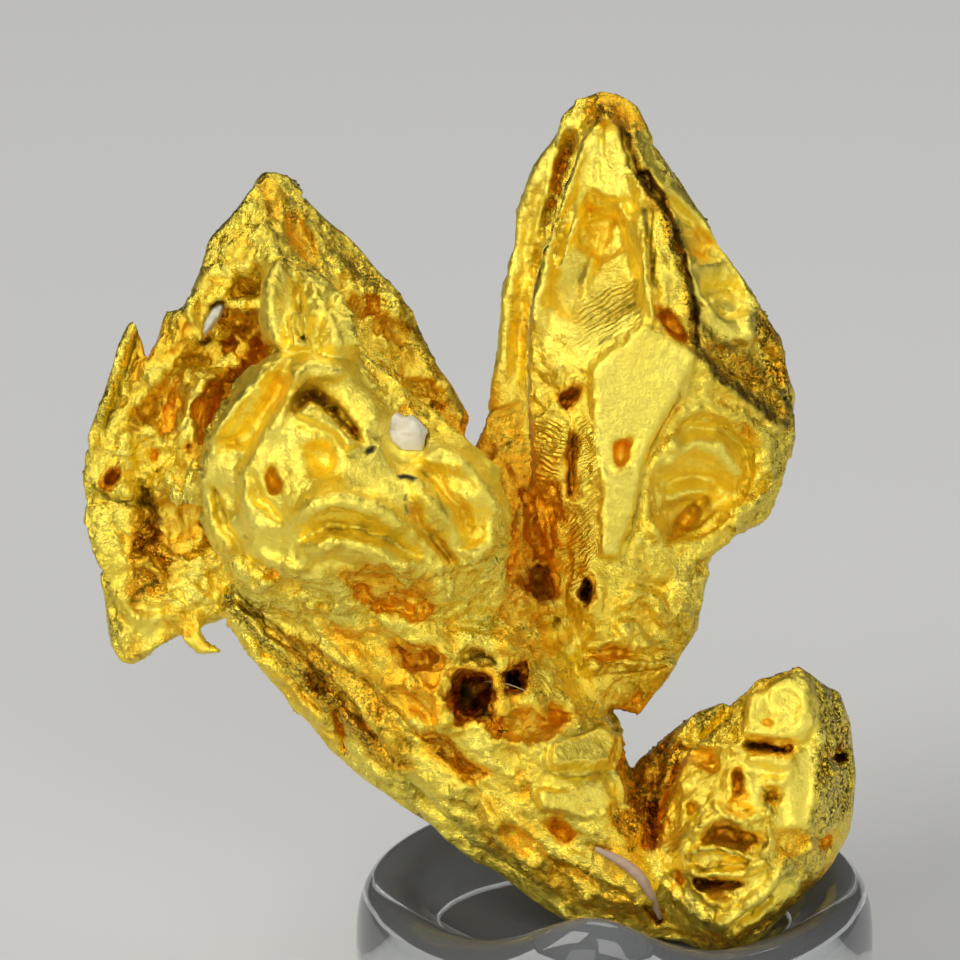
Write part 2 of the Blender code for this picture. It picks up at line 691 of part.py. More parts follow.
def gold():
    crystals = {name: Crystal(name, corners) for name, (_, corners) in CRYSTALS.items()}
    body = None
    for name, crystal in crystals.items():
        later = INNER if name.startswith("inner_block") else GROWN
        grown = crystal.grow(CRYSTALS[name][0], PART if body is None else later)
        body = body or grown
    body.name = "gold_crystals"
    for tables, make in (
        (MOUTHS, Crystal.mouth),
        (PITS, Crystal.pit),
        (GROOVES, Crystal.groove),
        (RIDGES, Crystal.ridge),
        (FACETS, Crystal.facet),
    ):
        for name, features in tables.items():
            for feature in features:
                make(crystals[name], *feature)
    for name in ("arm", "neck", "small_crystal", "small_tail", "foot_block"):
        crystals[name].socket()
    for name, corners in NOTCHES.items():
        ends = [place(*spot(*corner, back)) for corner in corners for back in (NOTCH_FROM, NOTCH_TO)]
        object_from(hull(ends), name, HOLLOWS)
    for name in GRAINS:
        object_from(grain(name, GRAIN_GAP), "seat_" + name, HOLLOWS)
    boolean(body, "UNION", GROWN)
    boolean(body, "DIFFERENCE", MOUTH_CUTS)
    boolean(body, "UNION", INNER)
    boolean(body, "DIFFERENCE", HOLLOWS)
    in_one_piece(body)
    return body


def pad():
    """The clear pad: a turned body with a dish in its top, and a wave in its lip in front of the gold."""
    profile = [
        (0.0, 0.0, 0.0),
        (PAD_RADIUS - 0.15, 0.0, 0.0),
        (PAD_RADIUS - 0.05, 0.1, 0.0),
        (PAD_RADIUS - 0.04, 1.2, 0.0),
        (PAD_RADIUS, 2.1, 0.1),
        (PAD_RADIUS - 0.02, 2.55, 0.4),
        (PAD_RADIUS - 0.13, 2.82, 0.8),
        (LIP_RADIUS, PAD_HEIGHT, 1.0),
        (LIP_RADIUS - 0.2, PAD_HEIGHT - 0.03, 1.0),
        (LIP_RADIUS - 0.36, PAD_HEIGHT - 0.16, 0.8),
        (DISH_RADIUS, DISH_FLOOR + 0.1, 0.35),
        (DISH_RADIUS - 0.3, DISH_FLOOR + 0.02, 0.05),
        (DISH_RADIUS - 0.7, DISH_FLOOR, 0.0),
        (0.0, DISH_FLOOR, 0.0),
    ]
    mesh = bmesh.new()
    rings = []
    for radius, height, wave_share in profile:
        if radius == 0:
            rings.append([mesh.verts.new((0, 0, height * MM))])
            continue
        ring = []
        for side in range(PAD_SIDES):
            turn = 2 * math.pi * side / PAD_SIDES
            x, y = radius * math.sin(turn), -radius * math.cos(turn)
            wave = math.exp(-(((x - WAVE_PLACE) / WAVE_WIDTH) ** 2)) if y < 0 else 0.0
            ring.append(
                mesh.verts.new(Vector((x, y, height + WAVE_HEIGHT * wave * wave_share)) * MM)
            )
        rings.append(ring)
    for lower, upper in zip(rings, rings[1:]):
        for side in range(PAD_SIDES):
            other = (side + 1) % PAD_SIDES
            corners = [
                lower[side % len(lower)],
                lower[other % len(lower)],
                upper[other % len(upper)],
                upper[side % len(upper)],
            ]
            mesh.faces.new(list(dict.fromkeys(corners)))
    body = object_from(mesh, "clear_stand", PART)
    boolean(body, "DIFFERENCE", SOCKET)
    in_one_piece(body)
    return body


def main():
    clear_scene()
    for collection in (PART, TOOLS):
        bpy.context.scene.collection.children.link(collection)
    for collection in (GROWN, MOUTH_CUTS, INNER, HOLLOWS, SOCKET):
        TOOLS.children.link(collection)
    gold().data.materials.append(material("native_gold", (0.95, 0.68, 0.12), 0.25, metallic=1.0))
    quartz = material("quartz", (0.86, 0.84, 0.8), 0.3)
    for name in GRAINS:
        object_from(grain(name), name, PART).data.materials.append(quartz)
    pad().data.materials.append(material("clear_gel", (0.95, 0.97, 0.98), 0.05, transmission=1.0))


main()
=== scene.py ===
import math

import bmesh
import bpy
import numpy as np
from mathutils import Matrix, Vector
from mathutils.bvhtree import BVHTree
from mathutils.kdtree import KDTree


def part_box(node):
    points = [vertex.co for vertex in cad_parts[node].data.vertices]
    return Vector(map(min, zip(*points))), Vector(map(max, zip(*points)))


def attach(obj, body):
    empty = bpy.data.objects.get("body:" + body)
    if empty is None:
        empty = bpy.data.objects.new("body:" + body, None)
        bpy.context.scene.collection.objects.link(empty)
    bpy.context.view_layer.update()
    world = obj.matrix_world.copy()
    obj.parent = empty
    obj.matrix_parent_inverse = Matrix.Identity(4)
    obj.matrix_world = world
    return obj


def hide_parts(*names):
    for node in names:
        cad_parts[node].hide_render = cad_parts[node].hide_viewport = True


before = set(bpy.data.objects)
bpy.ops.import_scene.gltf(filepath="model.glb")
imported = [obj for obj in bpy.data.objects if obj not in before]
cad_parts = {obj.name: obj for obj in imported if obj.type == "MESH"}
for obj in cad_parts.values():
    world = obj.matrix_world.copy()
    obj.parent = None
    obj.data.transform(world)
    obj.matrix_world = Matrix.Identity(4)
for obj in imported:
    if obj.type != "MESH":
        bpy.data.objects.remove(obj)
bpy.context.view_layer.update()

# ======================================================================================================
# The gold as it grew
# One natural growth of native gold: hopper crystals whose edges outgrew the middles of their faces. The
# skin is worked in the group's own frame (right, back, up), in millimetres, which leans back from upright.
# Places on it are counted in fine steps, across from the left and down from the top.

MM = 0.001
LEAN = math.radians(20)
FOOT = np.array((0.0, -1.6, 2.984))  # where the group's frame starts, in the row's frame
GOLD_LOW, GOLD_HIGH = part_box("gold_crystals")
STEPS_ACROSS = 780  # from the growth's left rim to its right
STEP = (GOLD_HIGH[0] - GOLD_LOW[0]) / MM / STEPS_ACROSS
FOOT_ACROSS, FOOT_DOWN = 616, 925
FAR_OFF = 50  # well clear of the growth, for a line of sight to start from
AWAY = np.array((0.0, 1.0, 0.0))  # the way that the viewer looks, in the group's frame
WELD = 1e-7
TURN = np.array(
    (
        (1.0, 0.0, 0.0),
        (0.0, math.cos(LEAN), -math.sin(LEAN)),
        (0.0, math.sin(LEAN), math.cos(LEAN)),
    )
)
TIP_INSET = 0.12  # of a blunt end, behind the skin that it stiffens
COARSE_SKIN = 0.05
FINE_SKIN = 0.031
COARSE_REACH, FINE_REACH = 0.22, 0.9  # how far behind the frontmost skin still counts as the front

# The blunt ends of thin tips and rims, each a thickness and an outline.
TIPS = {
    "tall_tip": (0.5, [(558, 140), (565, 114), (583, 96), (604, 86), (622, 92), (641, 106), (655, 138),
        (648, 160), (610, 150)]),
    "hopper_foot": (0.35, [(97, 570), (104, 600), (105, 622), (110, 645), (120, 661), (130, 666),
        (143, 659), (156, 646), (160, 620), (134, 570)]),
    "hopper_rim": (0.25, [(398, 300), (408, 304), (426, 336), (440, 364), (422, 366), (402, 334)]),
    "wing_edge": (0.2, [(712, 232), (728, 250), (748, 278), (760, 302), (744, 300), (718, 262)]),
    "wing_side": (0.15, [(766, 358), (786, 358), (799, 396), (796, 416), (780, 404)]),
    "hopper_tip": (0.45, [(252, 184), (262, 172), (276, 170), (289, 175), (301, 192), (280, 208)]),
}


def welded(source):
    """A mesh to work on, with the loose triangles of its source joined."""
    work = bmesh.new()
    work.from_mesh(source)
    bmesh.ops.remove_doubles(work, verts=work.verts, dist=WELD)
    return work


def mesh_of(work, name, smooth=False):
    """The named mesh of a bmesh, which is then let go."""
    if smooth:
        for face in work.faces:
            face.smooth = True
    made = bpy.data.meshes.new(name)
    work.to_mesh(made)
    work.free()
    return made


def linked(name, data):
    piece = bpy.data.objects.new(name, data)
    bpy.context.scene.collection.objects.link(piece)
    return piece


def grown_mesh():
    """The gold's solid as one mesh, in the group's frame and in millimetres."""
    solid = welded(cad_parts["gold_crystals"].data)
    for vert in solid.verts:
        vert.co = Vector(TURN @ (np.array(vert.co) / MM - FOOT))
    tree = BVHTree.FromBMesh(solid)
    for thickness, places in TIPS.values():
        outline = spots(places)
        right, up = outline.mean(axis=0)
        halfway = (outline + (right, up)) / 2
        hits = [tree.ray_cast(Vector((x, -FAR_OFF, z)), Vector(AWAY))[0] for x, z in halfway]
        front = float(np.median([hit.y for hit in hits if hit])) + TIP_INSET
        cap = [solid.verts.new((x, front + thickness * share, z)) for x, z in outline for share in (0.2, 1)]
        cap += [solid.verts.new((right, front, up))]
        bmesh.ops.convex_hull(solid, input=cap, use_existing_faces=False)
    return mesh_of(solid, "growth")


def drop_crumbs(mesh):
    """Keeps the one large body of a skin, without the crumbs that thin edges leave beside it."""
    ends = np.empty(len(mesh.edges) * 2, np.int32)
    mesh.edges.foreach_get("vertices", ends)
    start, end = ends.reshape(-1, 2).T
    body = np.arange(len(mesh.vertices))
    while (body[start] != body[end]).any():
        low = np.minimum(body[start], body[end])
        np.minimum.at(body, body[start], low)
        np.minimum.at(body, body[end], low)
        body = body[body]
    crumbs = np.flatnonzero(body != np.bincount(body).argmax())
    if len(crumbs) == 0:
        return
    work = bmesh.new()
    work.from_mesh(mesh)
    work.verts.ensure_lookup_table()
    bmesh.ops.delete(work, geom=[work.verts[index] for index in crumbs], context="VERTS")
    work.to_mesh(mesh)
    work.free()


def skinned(mesh, size, easing):
    """The mesh wrapped in an even skin of faces of one size, with its corners eased."""
    work = linked("growth", mesh)
    wrap = work.modifiers.new("wrap", "REMESH")
    wrap.mode = "VOXEL"
    wrap.voxel_size = size
    ease = work.modifiers.new("ease", "SMOOTH")
    ease.factor = 0.5
    ease.iterations = easing
    graph = bpy.context.evaluated_depsgraph_get()
    made = bpy.data.meshes.new_from_object(work.evaluated_get(graph))
    bpy.data.objects.remove(work)
    drop_crumbs(made)
    return made


def flat_array(source, name, count):
    values = np.empty(count * 3, np.float32)
    source.foreach_get(name, values)
    return values.reshape(-1, 3).astype(float)


def scattered(places, seed):
    """Three even scattered numbers of -1 to 1 for each whole-numbered place."""
    mix = places[:, 0] * 73856093 ^ places[:, 1] * 19349663 ^ places[:, 2] * 83492791 ^ seed * 40503
    mix = (mix & 0xFFFFFFFF) * 2654435 & 0xFFFFFFFF
    mix = (mix ^ mix >> 15) * 2246822 & 0xFFFFFFFF
    mix ^= mix >> 13
    return np.stack([mix & 1023, mix >> 10 & 1023, mix >> 20 & 1023], axis=1) / 511.5 - 1


def grain(points, seed):
    """Smooth noise of about -1 to 1, one hump to a unit."""
    cell = np.floor(points).astype(np.int64)
    part = points - cell
    fade = part**3 * (part * (part * 6 - 15) + 10)
    total = np.zeros(len(points))
    for corner in range(8):
        offset = np.array((corner & 1, corner >> 1 & 1, corner >> 2 & 1))
        share = np.where(offset, fade, 1 - fade).prod(axis=1)
        total += share * (scattered(cell + offset, seed) * (part - offset)).sum(axis=1)
    return 1.5 * total


def facets(points, size, seed):
    """Broken relief of about -1 to 1: small flats, each tilted its own way, with sharp edges."""
    places = points / size
    cell = np.floor(places).astype(np.int64)
    nearest = np.full(len(points), np.inf)
    relief = np.zeros(len(points))
    for offset in np.ndindex(3, 3, 3):
        around = cell + np.array(offset) - 1
        apart = places - around - 0.5 - 0.48 * scattered(around, seed)
        reach = (apart**2).sum(axis=1)
        closer = reach < nearest
        nearest[closer] = reach[closer]
        tilt = scattered(around[closer], seed + 7)
        relief[closer] = (apart[closer] * tilt).sum(axis=1) + 0.3 * tilt[:, 0]
    return 1.3 * relief


def creases(points, size, seed):
    """Crumpled relief of about -1 to 1: flats that meet in sharp creases."""
    bent = points / size
    bend = grain(bent * 0.6 + 31.7, seed + 1)
    bent = bent + 0.45 * np.stack([bend, -bend, bend * 0.5], axis=1)
    return 1 - 3.2 * np.abs(grain(bent, seed))


def behind_front(points, cell=0.07):
    """How far each point lies behind the frontmost skin at its own (right, up)."""
    low = points.min(axis=0)
    column = ((points[:, 0] - low[0]) / cell).astype(int)
    row = ((points[:, 2] - low[2]) / cell).astype(int)
    front = np.full((column.max() + 1, row.max() + 1), np.inf)
    np.minimum.at(front, (column, row), points[:, 1])
    return points[:, 1] - front[column, row]


def line_distance(flat, line):
    """How far each (right, up) is from a line through some points, and its share of the way along."""
    nearest = np.full(len(flat), np.inf)
    way = np.zeros(len(flat))
    for index, (start, end) in enumerate(zip(line[:-1], line[1:])):
        along = end - start
        share = np.clip((flat - start) @ along / (along @ along), 0, 1)
        reach = np.hypot(*(flat - start - share[:, None] * along).T)
        closer = reach < nearest
        nearest[closer] = reach[closer]
        way[closer] = (index + share[closer]) / (len(line) - 1)
    return nearest, way


def inside_depth(flat, outline):
    """How far each (right, up) is inside an outline, below nought where it is outside."""
    reach = line_distance(flat, np.vstack([outline, outline[:1]]))[0]
    inside = np.zeros(len(flat), bool)
    for (ax, ay), (bx, by) in zip(outline, np.roll(outline, -1, axis=0)):
        if ay == by:
            continue
        crosses = (ay > flat[:, 1]) != (by > flat[:, 1])
        inside ^= crosses & (flat[:, 0] < (bx - ax) * (flat[:, 1] - ay) / (by - ay) + ax)
    return np.where(inside, reach, -reach)


def soft(share):
    share = np.clip(share, 0, 1)
    return share * share * (3 - 2 * share)


def spots(places):
    """Places counted in steps, as (right, up) in millimetres."""
    places = np.array(places, float)
    return np.stack([places[:, 0] - FOOT_ACROSS, FOOT_DOWN - places[:, 1]], axis=1) * STEP


# The marks that a skin can bear, each with how softly it ends, in millimetres.
# Some marks paint light into the gold's colour: one paints shade and the redness of light passed between
# walls into hollows, one paints dark reflections, and calm flats are painted paler, as if lit more. Grit is
# real dark grit.
MARKS = {
    "calm": 0.12, "foil": 0.12, "shards": 0.12, "stain": 0.12, "grit": 0.04, "dusk": 0.08, "branch": 0.3,
}


class Skin:
    """The growth's skin while it is shaped: its points, their facing, and which lie on its front."""

    WANDER = 0.045  # of every edge and line, so that none is ruled
    FRONT_FADE = 0.2
    EDGE_ON, EDGE_FADE = 0.35, 0.3  # how far a front point may face away from the viewer
    OUTSIDE = 0.15  # how far a form has already begun at its own outline
    MOSTLY_IN_LINE = 0.9  # with the line of sight, for a form with an outline
    MOST_HOLLOW = 0.7  # of the gold that lies behind a point
    ONE_LEVEL = 0.2  # the most that a flat moves a point
    FULL_DEPTH = 9.0  # of gold behind the points that aren't on the front

    def __init__(self, mesh, reach):
        self.mesh = mesh
        self.points = flat_array(mesh.vertices, "co", len(mesh.vertices))
        self.facing = flat_array(mesh.vertex_normals, "vector", len(mesh.vertices))
        self.front = soft(1 - (behind_front(self.points) - reach) / self.FRONT_FADE)
        self.front *= soft((self.EDGE_ON - self.facing[:, 1]) / self.EDGE_FADE)
        self.behind = self.thickness()
        self.hollow, self.seams, self.rib_share, self.rib_count = np.zeros((4, len(self.points)))
        self.marks = {kind: np.zeros(len(self.points)) for kind in MARKS}

    def thickness(self, clearance=0.03):
        """How much gold lies behind each front point, along the line of sight."""
        tree = BVHTree.FromPolygons(self.points.tolist(), [tuple(p.vertices) for p in self.mesh.polygons])
        behind = np.full(len(self.points), self.FULL_DEPTH)
        for index in np.flatnonzero(self.front > 0):
            start = self.points[index] + AWAY * clearance
            behind[index] = tree.ray_cast(Vector(start), Vector(AWAY))[3] or 0.0
        return behind

    def near(self, places, margin):
        """The front points near some places, with their (right, up) made to wander a little."""
        outline = spots(places)
        low, high = outline.min(axis=0) - margin, outline.max(axis=0) + margin
        right, up = self.points[:, 0], self.points[:, 2]
        within = (right > low[0]) & (right < high[0]) & (up > low[1]) & (up < high[1])
        chosen = np.flatnonzero(within & (self.front > 0))
        at = self.points[chosen]
        flat = at[:, (0, 2)]
        for scale, share, seed in ((4.0, 1.0, 3), (11.0, 0.4, 5)):
            drift = np.stack([grain(at * scale, seed), grain(at * scale, seed + 1)], axis=1)
            flat = flat + self.WANDER * share * drift
        return chosen, flat, outline

    def push(self, chosen, depth, along_view=0.7):
        """Moves points inwards: along the line of sight, along their own facing, or between."""
        room = self.MOST_HOLLOW * self.behind[chosen] - np.maximum(self.hollow[chosen], 0)
        depth = np.minimum(depth, np.maximum(room, 0)) * self.front[chosen]
        way = AWAY * along_view - self.facing[chosen] * (1 - along_view)
        self.points[chosen] += way * depth[:, None]
        self.hollow[chosen] += depth

    def within(self, edge, places, margin=0.2):
        """The points near an outline, and how far each is inside its softened edge."""
        chosen, flat, outline = self.near(places, margin)
        return chosen, flat, outline, soft(inside_depth(flat, outline) / (edge * STEP) + self.OUTSIDE)

    def pit(self, depth, edge, places):
        chosen, _, _, share = self.within(edge, places)
        self.push(chosen, depth * STEP * share, along_view=self.MOSTLY_IN_LINE)

    def scoop(self, depth, edge, places):
        """A hollow that is deepest by the first place and runs out towards the farthest."""
        chosen, flat, outline, share = self.within(edge, places)
        reach = np.hypot(*(outline - outline[0]).T).max()
        share *= 1 - np.clip(np.hypot(*(flat - outline[0]).T) / reach, 0, 1) ** 1.3
        self.push(chosen, depth * STEP * share, along_view=self.MOSTLY_IN_LINE)

    def plane_through(self, chosen, which):
        """The depth of each chosen point on the plane that runs closest to some of them."""
        right, depth, up = self.points[chosen].T
        terms = np.stack([right, up, np.ones(len(chosen))], axis=1)
        return terms @ np.linalg.lstsq(terms[which], depth[which], rcond=None)[0]

    def level(self, edge, lean, places):
        """A true flat: the skin inside an outline is brought to one plane, which may lean across."""
        chosen, _, _, share = self.within(edge, places, margin=0.1)
        right, depth, _ = self.points[chosen].T
        flat_depth = self.plane_through(chosen, share > 0.5) + lean * (right - right[share > 0.5].mean())
        inwards = np.minimum(self.ONE_LEVEL, 0.4 * self.behind[chosen])
        shift = np.clip(flat_depth - depth, -self.ONE_LEVEL, inwards)
        self.points[chosen, 1] += shift * share * self.front[chosen]

    def fill(self, amount, edge, places):
        """Gold that grew across a hollow: the skin comes forward towards the plane of the outline."""
        chosen, flat, outline, share = self.within(edge, places)
        rim = (np.abs(inside_depth(flat, outline)) < 0.06) & (self.front[chosen] > 0.5)
        shift = np.minimum(self.plane_through(chosen, rim) - self.points[chosen, 1], 0)
        shift *= amount * share * self.front[chosen]
        self.points[chosen, 1] += shift
        self.hollow[chosen] += shift

    def plate(self, height, edge, places):
        self.pit(-height, edge, places)

    def line(self, width, depth, places, profile):
        chosen, flat, route = self.near(places, 1.5 * width * STEP + 0.1)
        reach, way = line_distance(flat, route)
        taper = soft(np.minimum(way, 1 - way) * 6 + 0.35)
        self.push(chosen, depth * STEP * taper * profile(reach / (width * STEP)))

    def groove(self, width, depth, places):
        self.line(width, depth, places, lambda reach: np.clip(1 - reach, 0, 1) ** 1.5)

    def ridge(self, width, height, places):
        self.line(width, -height, places, lambda reach: np.exp(-1.6 * reach**2))

    def fold(self, width, height, places):
        self.line(width, -height, places, lambda reach: np.clip(1 - reach, 0, 1))

    def ribs(self, spacing, amount, slant, places):
        """Fine parallel growth lines over a patch, at a slant in degrees from level."""
        chosen, flat, outline = self.near(places, 0.1)
        share = amount * soft(inside_depth(flat, outline) / 0.12 + 0.3) * self.front[chosen]
        turn = math.radians(slant)
        across = flat[:, 1] * math.cos(turn) - flat[:, 0] * math.sin(turn)
        stronger = share > self.rib_share[chosen]
        self.rib_share[chosen[stronger]] = share[stronger]
        self.rib_count[chosen[stronger]] = across[stronger] / (spacing * STEP)

    def seam(self, width, amount, places):
        """A thin line of painted shade in the crease where two crystals or two folds of foil meet."""
        chosen, flat, route = self.near(places, width * STEP + 0.1)
        share = amount * soft(1.3 - line_distance(flat, route)[0] / (width * STEP)) * self.front[chosen]
        self.seams[chosen] = np.maximum(self.seams[chosen], share)

    def mark(self, kind, amount, places):
        chosen, flat, outline = self.near(places, 0.3)
        share = amount * soft(inside_depth(flat, outline) / MARKS[kind] + 0.5) * self.front[chosen]
        self.marks[kind][chosen] = np.maximum(self.marks[kind][chosen], share)

    def work(self, strokes):
        for kind, *sizes, places in strokes.values():
            if kind in MARKS:
                self.mark(kind, *sizes, places)
            else:
                getattr(self, kind)(*sizes, places)

    def finished(self):
        self.mesh.vertices.foreach_set("co", self.points.astype(np.float32).ravel())
        self.mesh.update()
        return self.mesh


skin = Skin(skinned(grown_mesh(), COARSE_SKIN, 1), COARSE_REACH)
swell = 0.07 * grain(skin.points * 0.9, 11) + 0.035 * grain(skin.points * 2.3, 12)
skin.points += skin.facing * swell[:, None]

# ======================================================================================================
# The hopper crystal, at the left
# The largest crystal. It is open to the front left, with steps and blocks of later gold inside it, a
# stepped wall down its right side, and a crumpled, pointed apex. A thin spike stands off its left edge.
# Each form gives its kind, its sizes, and its places; pits and folds of the skin's own scale come later.

HOPPER_FORMS = {
    "apex_valley": ("pit", 10, 8, [(279, 184), (290, 190), (304, 220), (330, 274), (306, 266), (286, 236)]),
    "apex_band": ("groove", 8, 8, [(266, 178), (268, 198), (280, 226)]),
    "apex_fold_1": ("fold", 9, 7, [(258, 203), (238, 216), (220, 238)]),
    "apex_fold_2": ("fold", 9, 6, [(266, 224), (244, 234), (220, 254)]),
    "wall_fold_1": ("fold", 9, 8, [(350, 284), (372, 316), (386, 348), (402, 392), (420, 422)]),
    "wall_fold_2": ("fold", 8, 7, [(380, 298), (406, 332), (432, 368), (452, 404)]),
    "wall_groove": ("groove", 8, 9, [(360, 302), (388, 340), (412, 376)]),
    "wall_hole": ("pit", 12, 4, [(410, 404), (424, 396), (440, 402), (450, 416), (430, 420)]),
    "cavity_1": ("pit", 24, 4, [(222, 309), (246, 306), (254, 322), (248, 338), (224, 333)]),
    "cavity_2": ("pit", 22, 4, [(221, 336), (236, 339), (238, 347), (223, 355)]),
    "cavity_3": ("pit", 20, 4, [(243, 333), (258, 336), (268, 342), (252, 349)]),
    "cavity_4": ("pit", 14, 4, [(240, 350), (262, 350), (272, 360), (250, 363)]),
    "upper_step": ("pit", 10, 5, [(236, 271), (250, 272), (256, 290), (242, 292)]),
    "left_rim": ("ridge", 10, 9, [(214, 262), (204, 290), (188, 318), (178, 340)]),
    "upper_fill": ("fill", 0.7, 6, [(172, 348), (212, 346), (220, 372), (204, 382), (176, 380)]),
    "inner_fill": ("fill", 0.95, 8, [(134, 396), (150, 372), (192, 368), (224, 372), (216, 440), (206, 500),
        (150, 500), (130, 440)]),
    "low_fill": ("fill", 0.6, 8, [(134, 500), (168, 500), (200, 512), (204, 556), (166, 566), (134, 560)]),
    "orange_strip": ("pit", 9, 3, [(173, 380), (187, 376), (182, 408), (171, 442), (162, 436), (163, 416)]),
    "bright_block": ("plate", 8, 3, [(145, 376), (160, 372), (164, 384), (158, 396), (147, 392)]),
    "crumpled_block": ("plate", 5, 3, [(160, 376), (171, 380), (170, 402), (158, 414), (150, 404)]),
    "yellow_plate": ("plate", 14, 2, [(187, 383), (213, 380), (216, 388), (208, 440), (194, 445),
        (176, 440), (183, 406)]),
    "plate_side": ("pit", 9, 3, [(214, 378), (223, 374), (220, 405), (212, 426), (210, 404)]),
    "plate_flat": ("level", 3, 0.15, [(188, 386), (212, 383), (207, 437), (178, 438)]),
    "spike_fold": ("fold", 8, 8, [(131, 322), (122, 350), (112, 390), (98, 424)]),
    "spike_groove": ("groove", 6, 9, [(137, 338), (129, 370), (119, 404), (101, 436)]),
    "upper_facet": ("plate", 9, 3, [(118, 430), (140, 419), (152, 424), (165, 446), (157, 448), (146, 440),
        (124, 452)]),
    "diamond": ("pit", 8, 3, [(150, 443), (158, 452), (154, 464), (144, 458)]),
    "left_facet": ("level", 3, 0.4, [(116, 458), (136, 450), (146, 466), (134, 484), (118, 482)]),
    "bright_facet": ("plate", 8, 2, [(148, 468), (160, 474), (172, 470), (170, 486), (150, 492)]),
    "lower_facet": ("plate", 7, 3, [(116, 486), (136, 480), (152, 488), (152, 498), (126, 498)]),
    "right_bit_1": ("plate", 7, 2, [(184, 472), (198, 470), (200, 486), (188, 492)]),
    "right_bit_2": ("plate", 6, 2, [(176, 450), (186, 446), (194, 458), (184, 464)]),
    "rim_pit": ("pit", 15, 3, [(117, 461), (118, 474), (111, 490), (103, 489), (103, 480)]),
    "ledge": ("fold", 8, 8, [(90, 486), (120, 494), (152, 500), (198, 497)]),
    "ledge_shade": ("groove", 6, 10, [(90, 497), (118, 502), (152, 508)]),
    "dark_cavity": ("pit", 12, 3, [(137, 520), (146, 516), (156, 518), (158, 540), (150, 546), (140, 538)]),
    "small_cavity": ("pit", 26, 3, [(201, 514), (207, 517), (208, 530), (202, 530)]),
    "panel_flat": ("level", 3, -0.3, [(158, 500), (180, 502), (182, 526), (172, 542), (160, 526)]),
    "brown_fold_1": ("fold", 5, 9, [(158, 548), (170, 556), (184, 558)]),
    "brown_fold_2": ("fold", 5, 8, [(132, 566), (144, 560), (158, 572), (160, 590)]),
    "brown_cut": ("groove", 4, 12, [(140, 590), (148, 584), (156, 588)]),
    "wall_flat_1": ("level", 3, 0.5, [(348, 296), (374, 298), (382, 312), (358, 318)]),
    "wall_flat_2": ("level", 3, -0.5, [(372, 318), (388, 314), (404, 342), (384, 340)]),
    "wall_flat_3": ("level", 3, 0.6, [(390, 344), (414, 344), (436, 364), (406, 360)]),
    "wall_flat_4": ("level", 3, -0.4, [(416, 378), (438, 376), (448, 398), (424, 394)]),
    "olive_panel": ("level", 3, 0.3, [(136, 612), (150, 604), (163, 606), (165, 620), (152, 640),
        (142, 650), (138, 632)]),
    "low_fold": ("fold", 9, 8, [(112, 590), (130, 612), (152, 622), (190, 606)]),
    "sliver_seat": ("pit", 27, 2, [(196, 338), (206, 322), (218, 301), (227, 302), (225, 316), (212, 343),
        (200, 345)]),
}
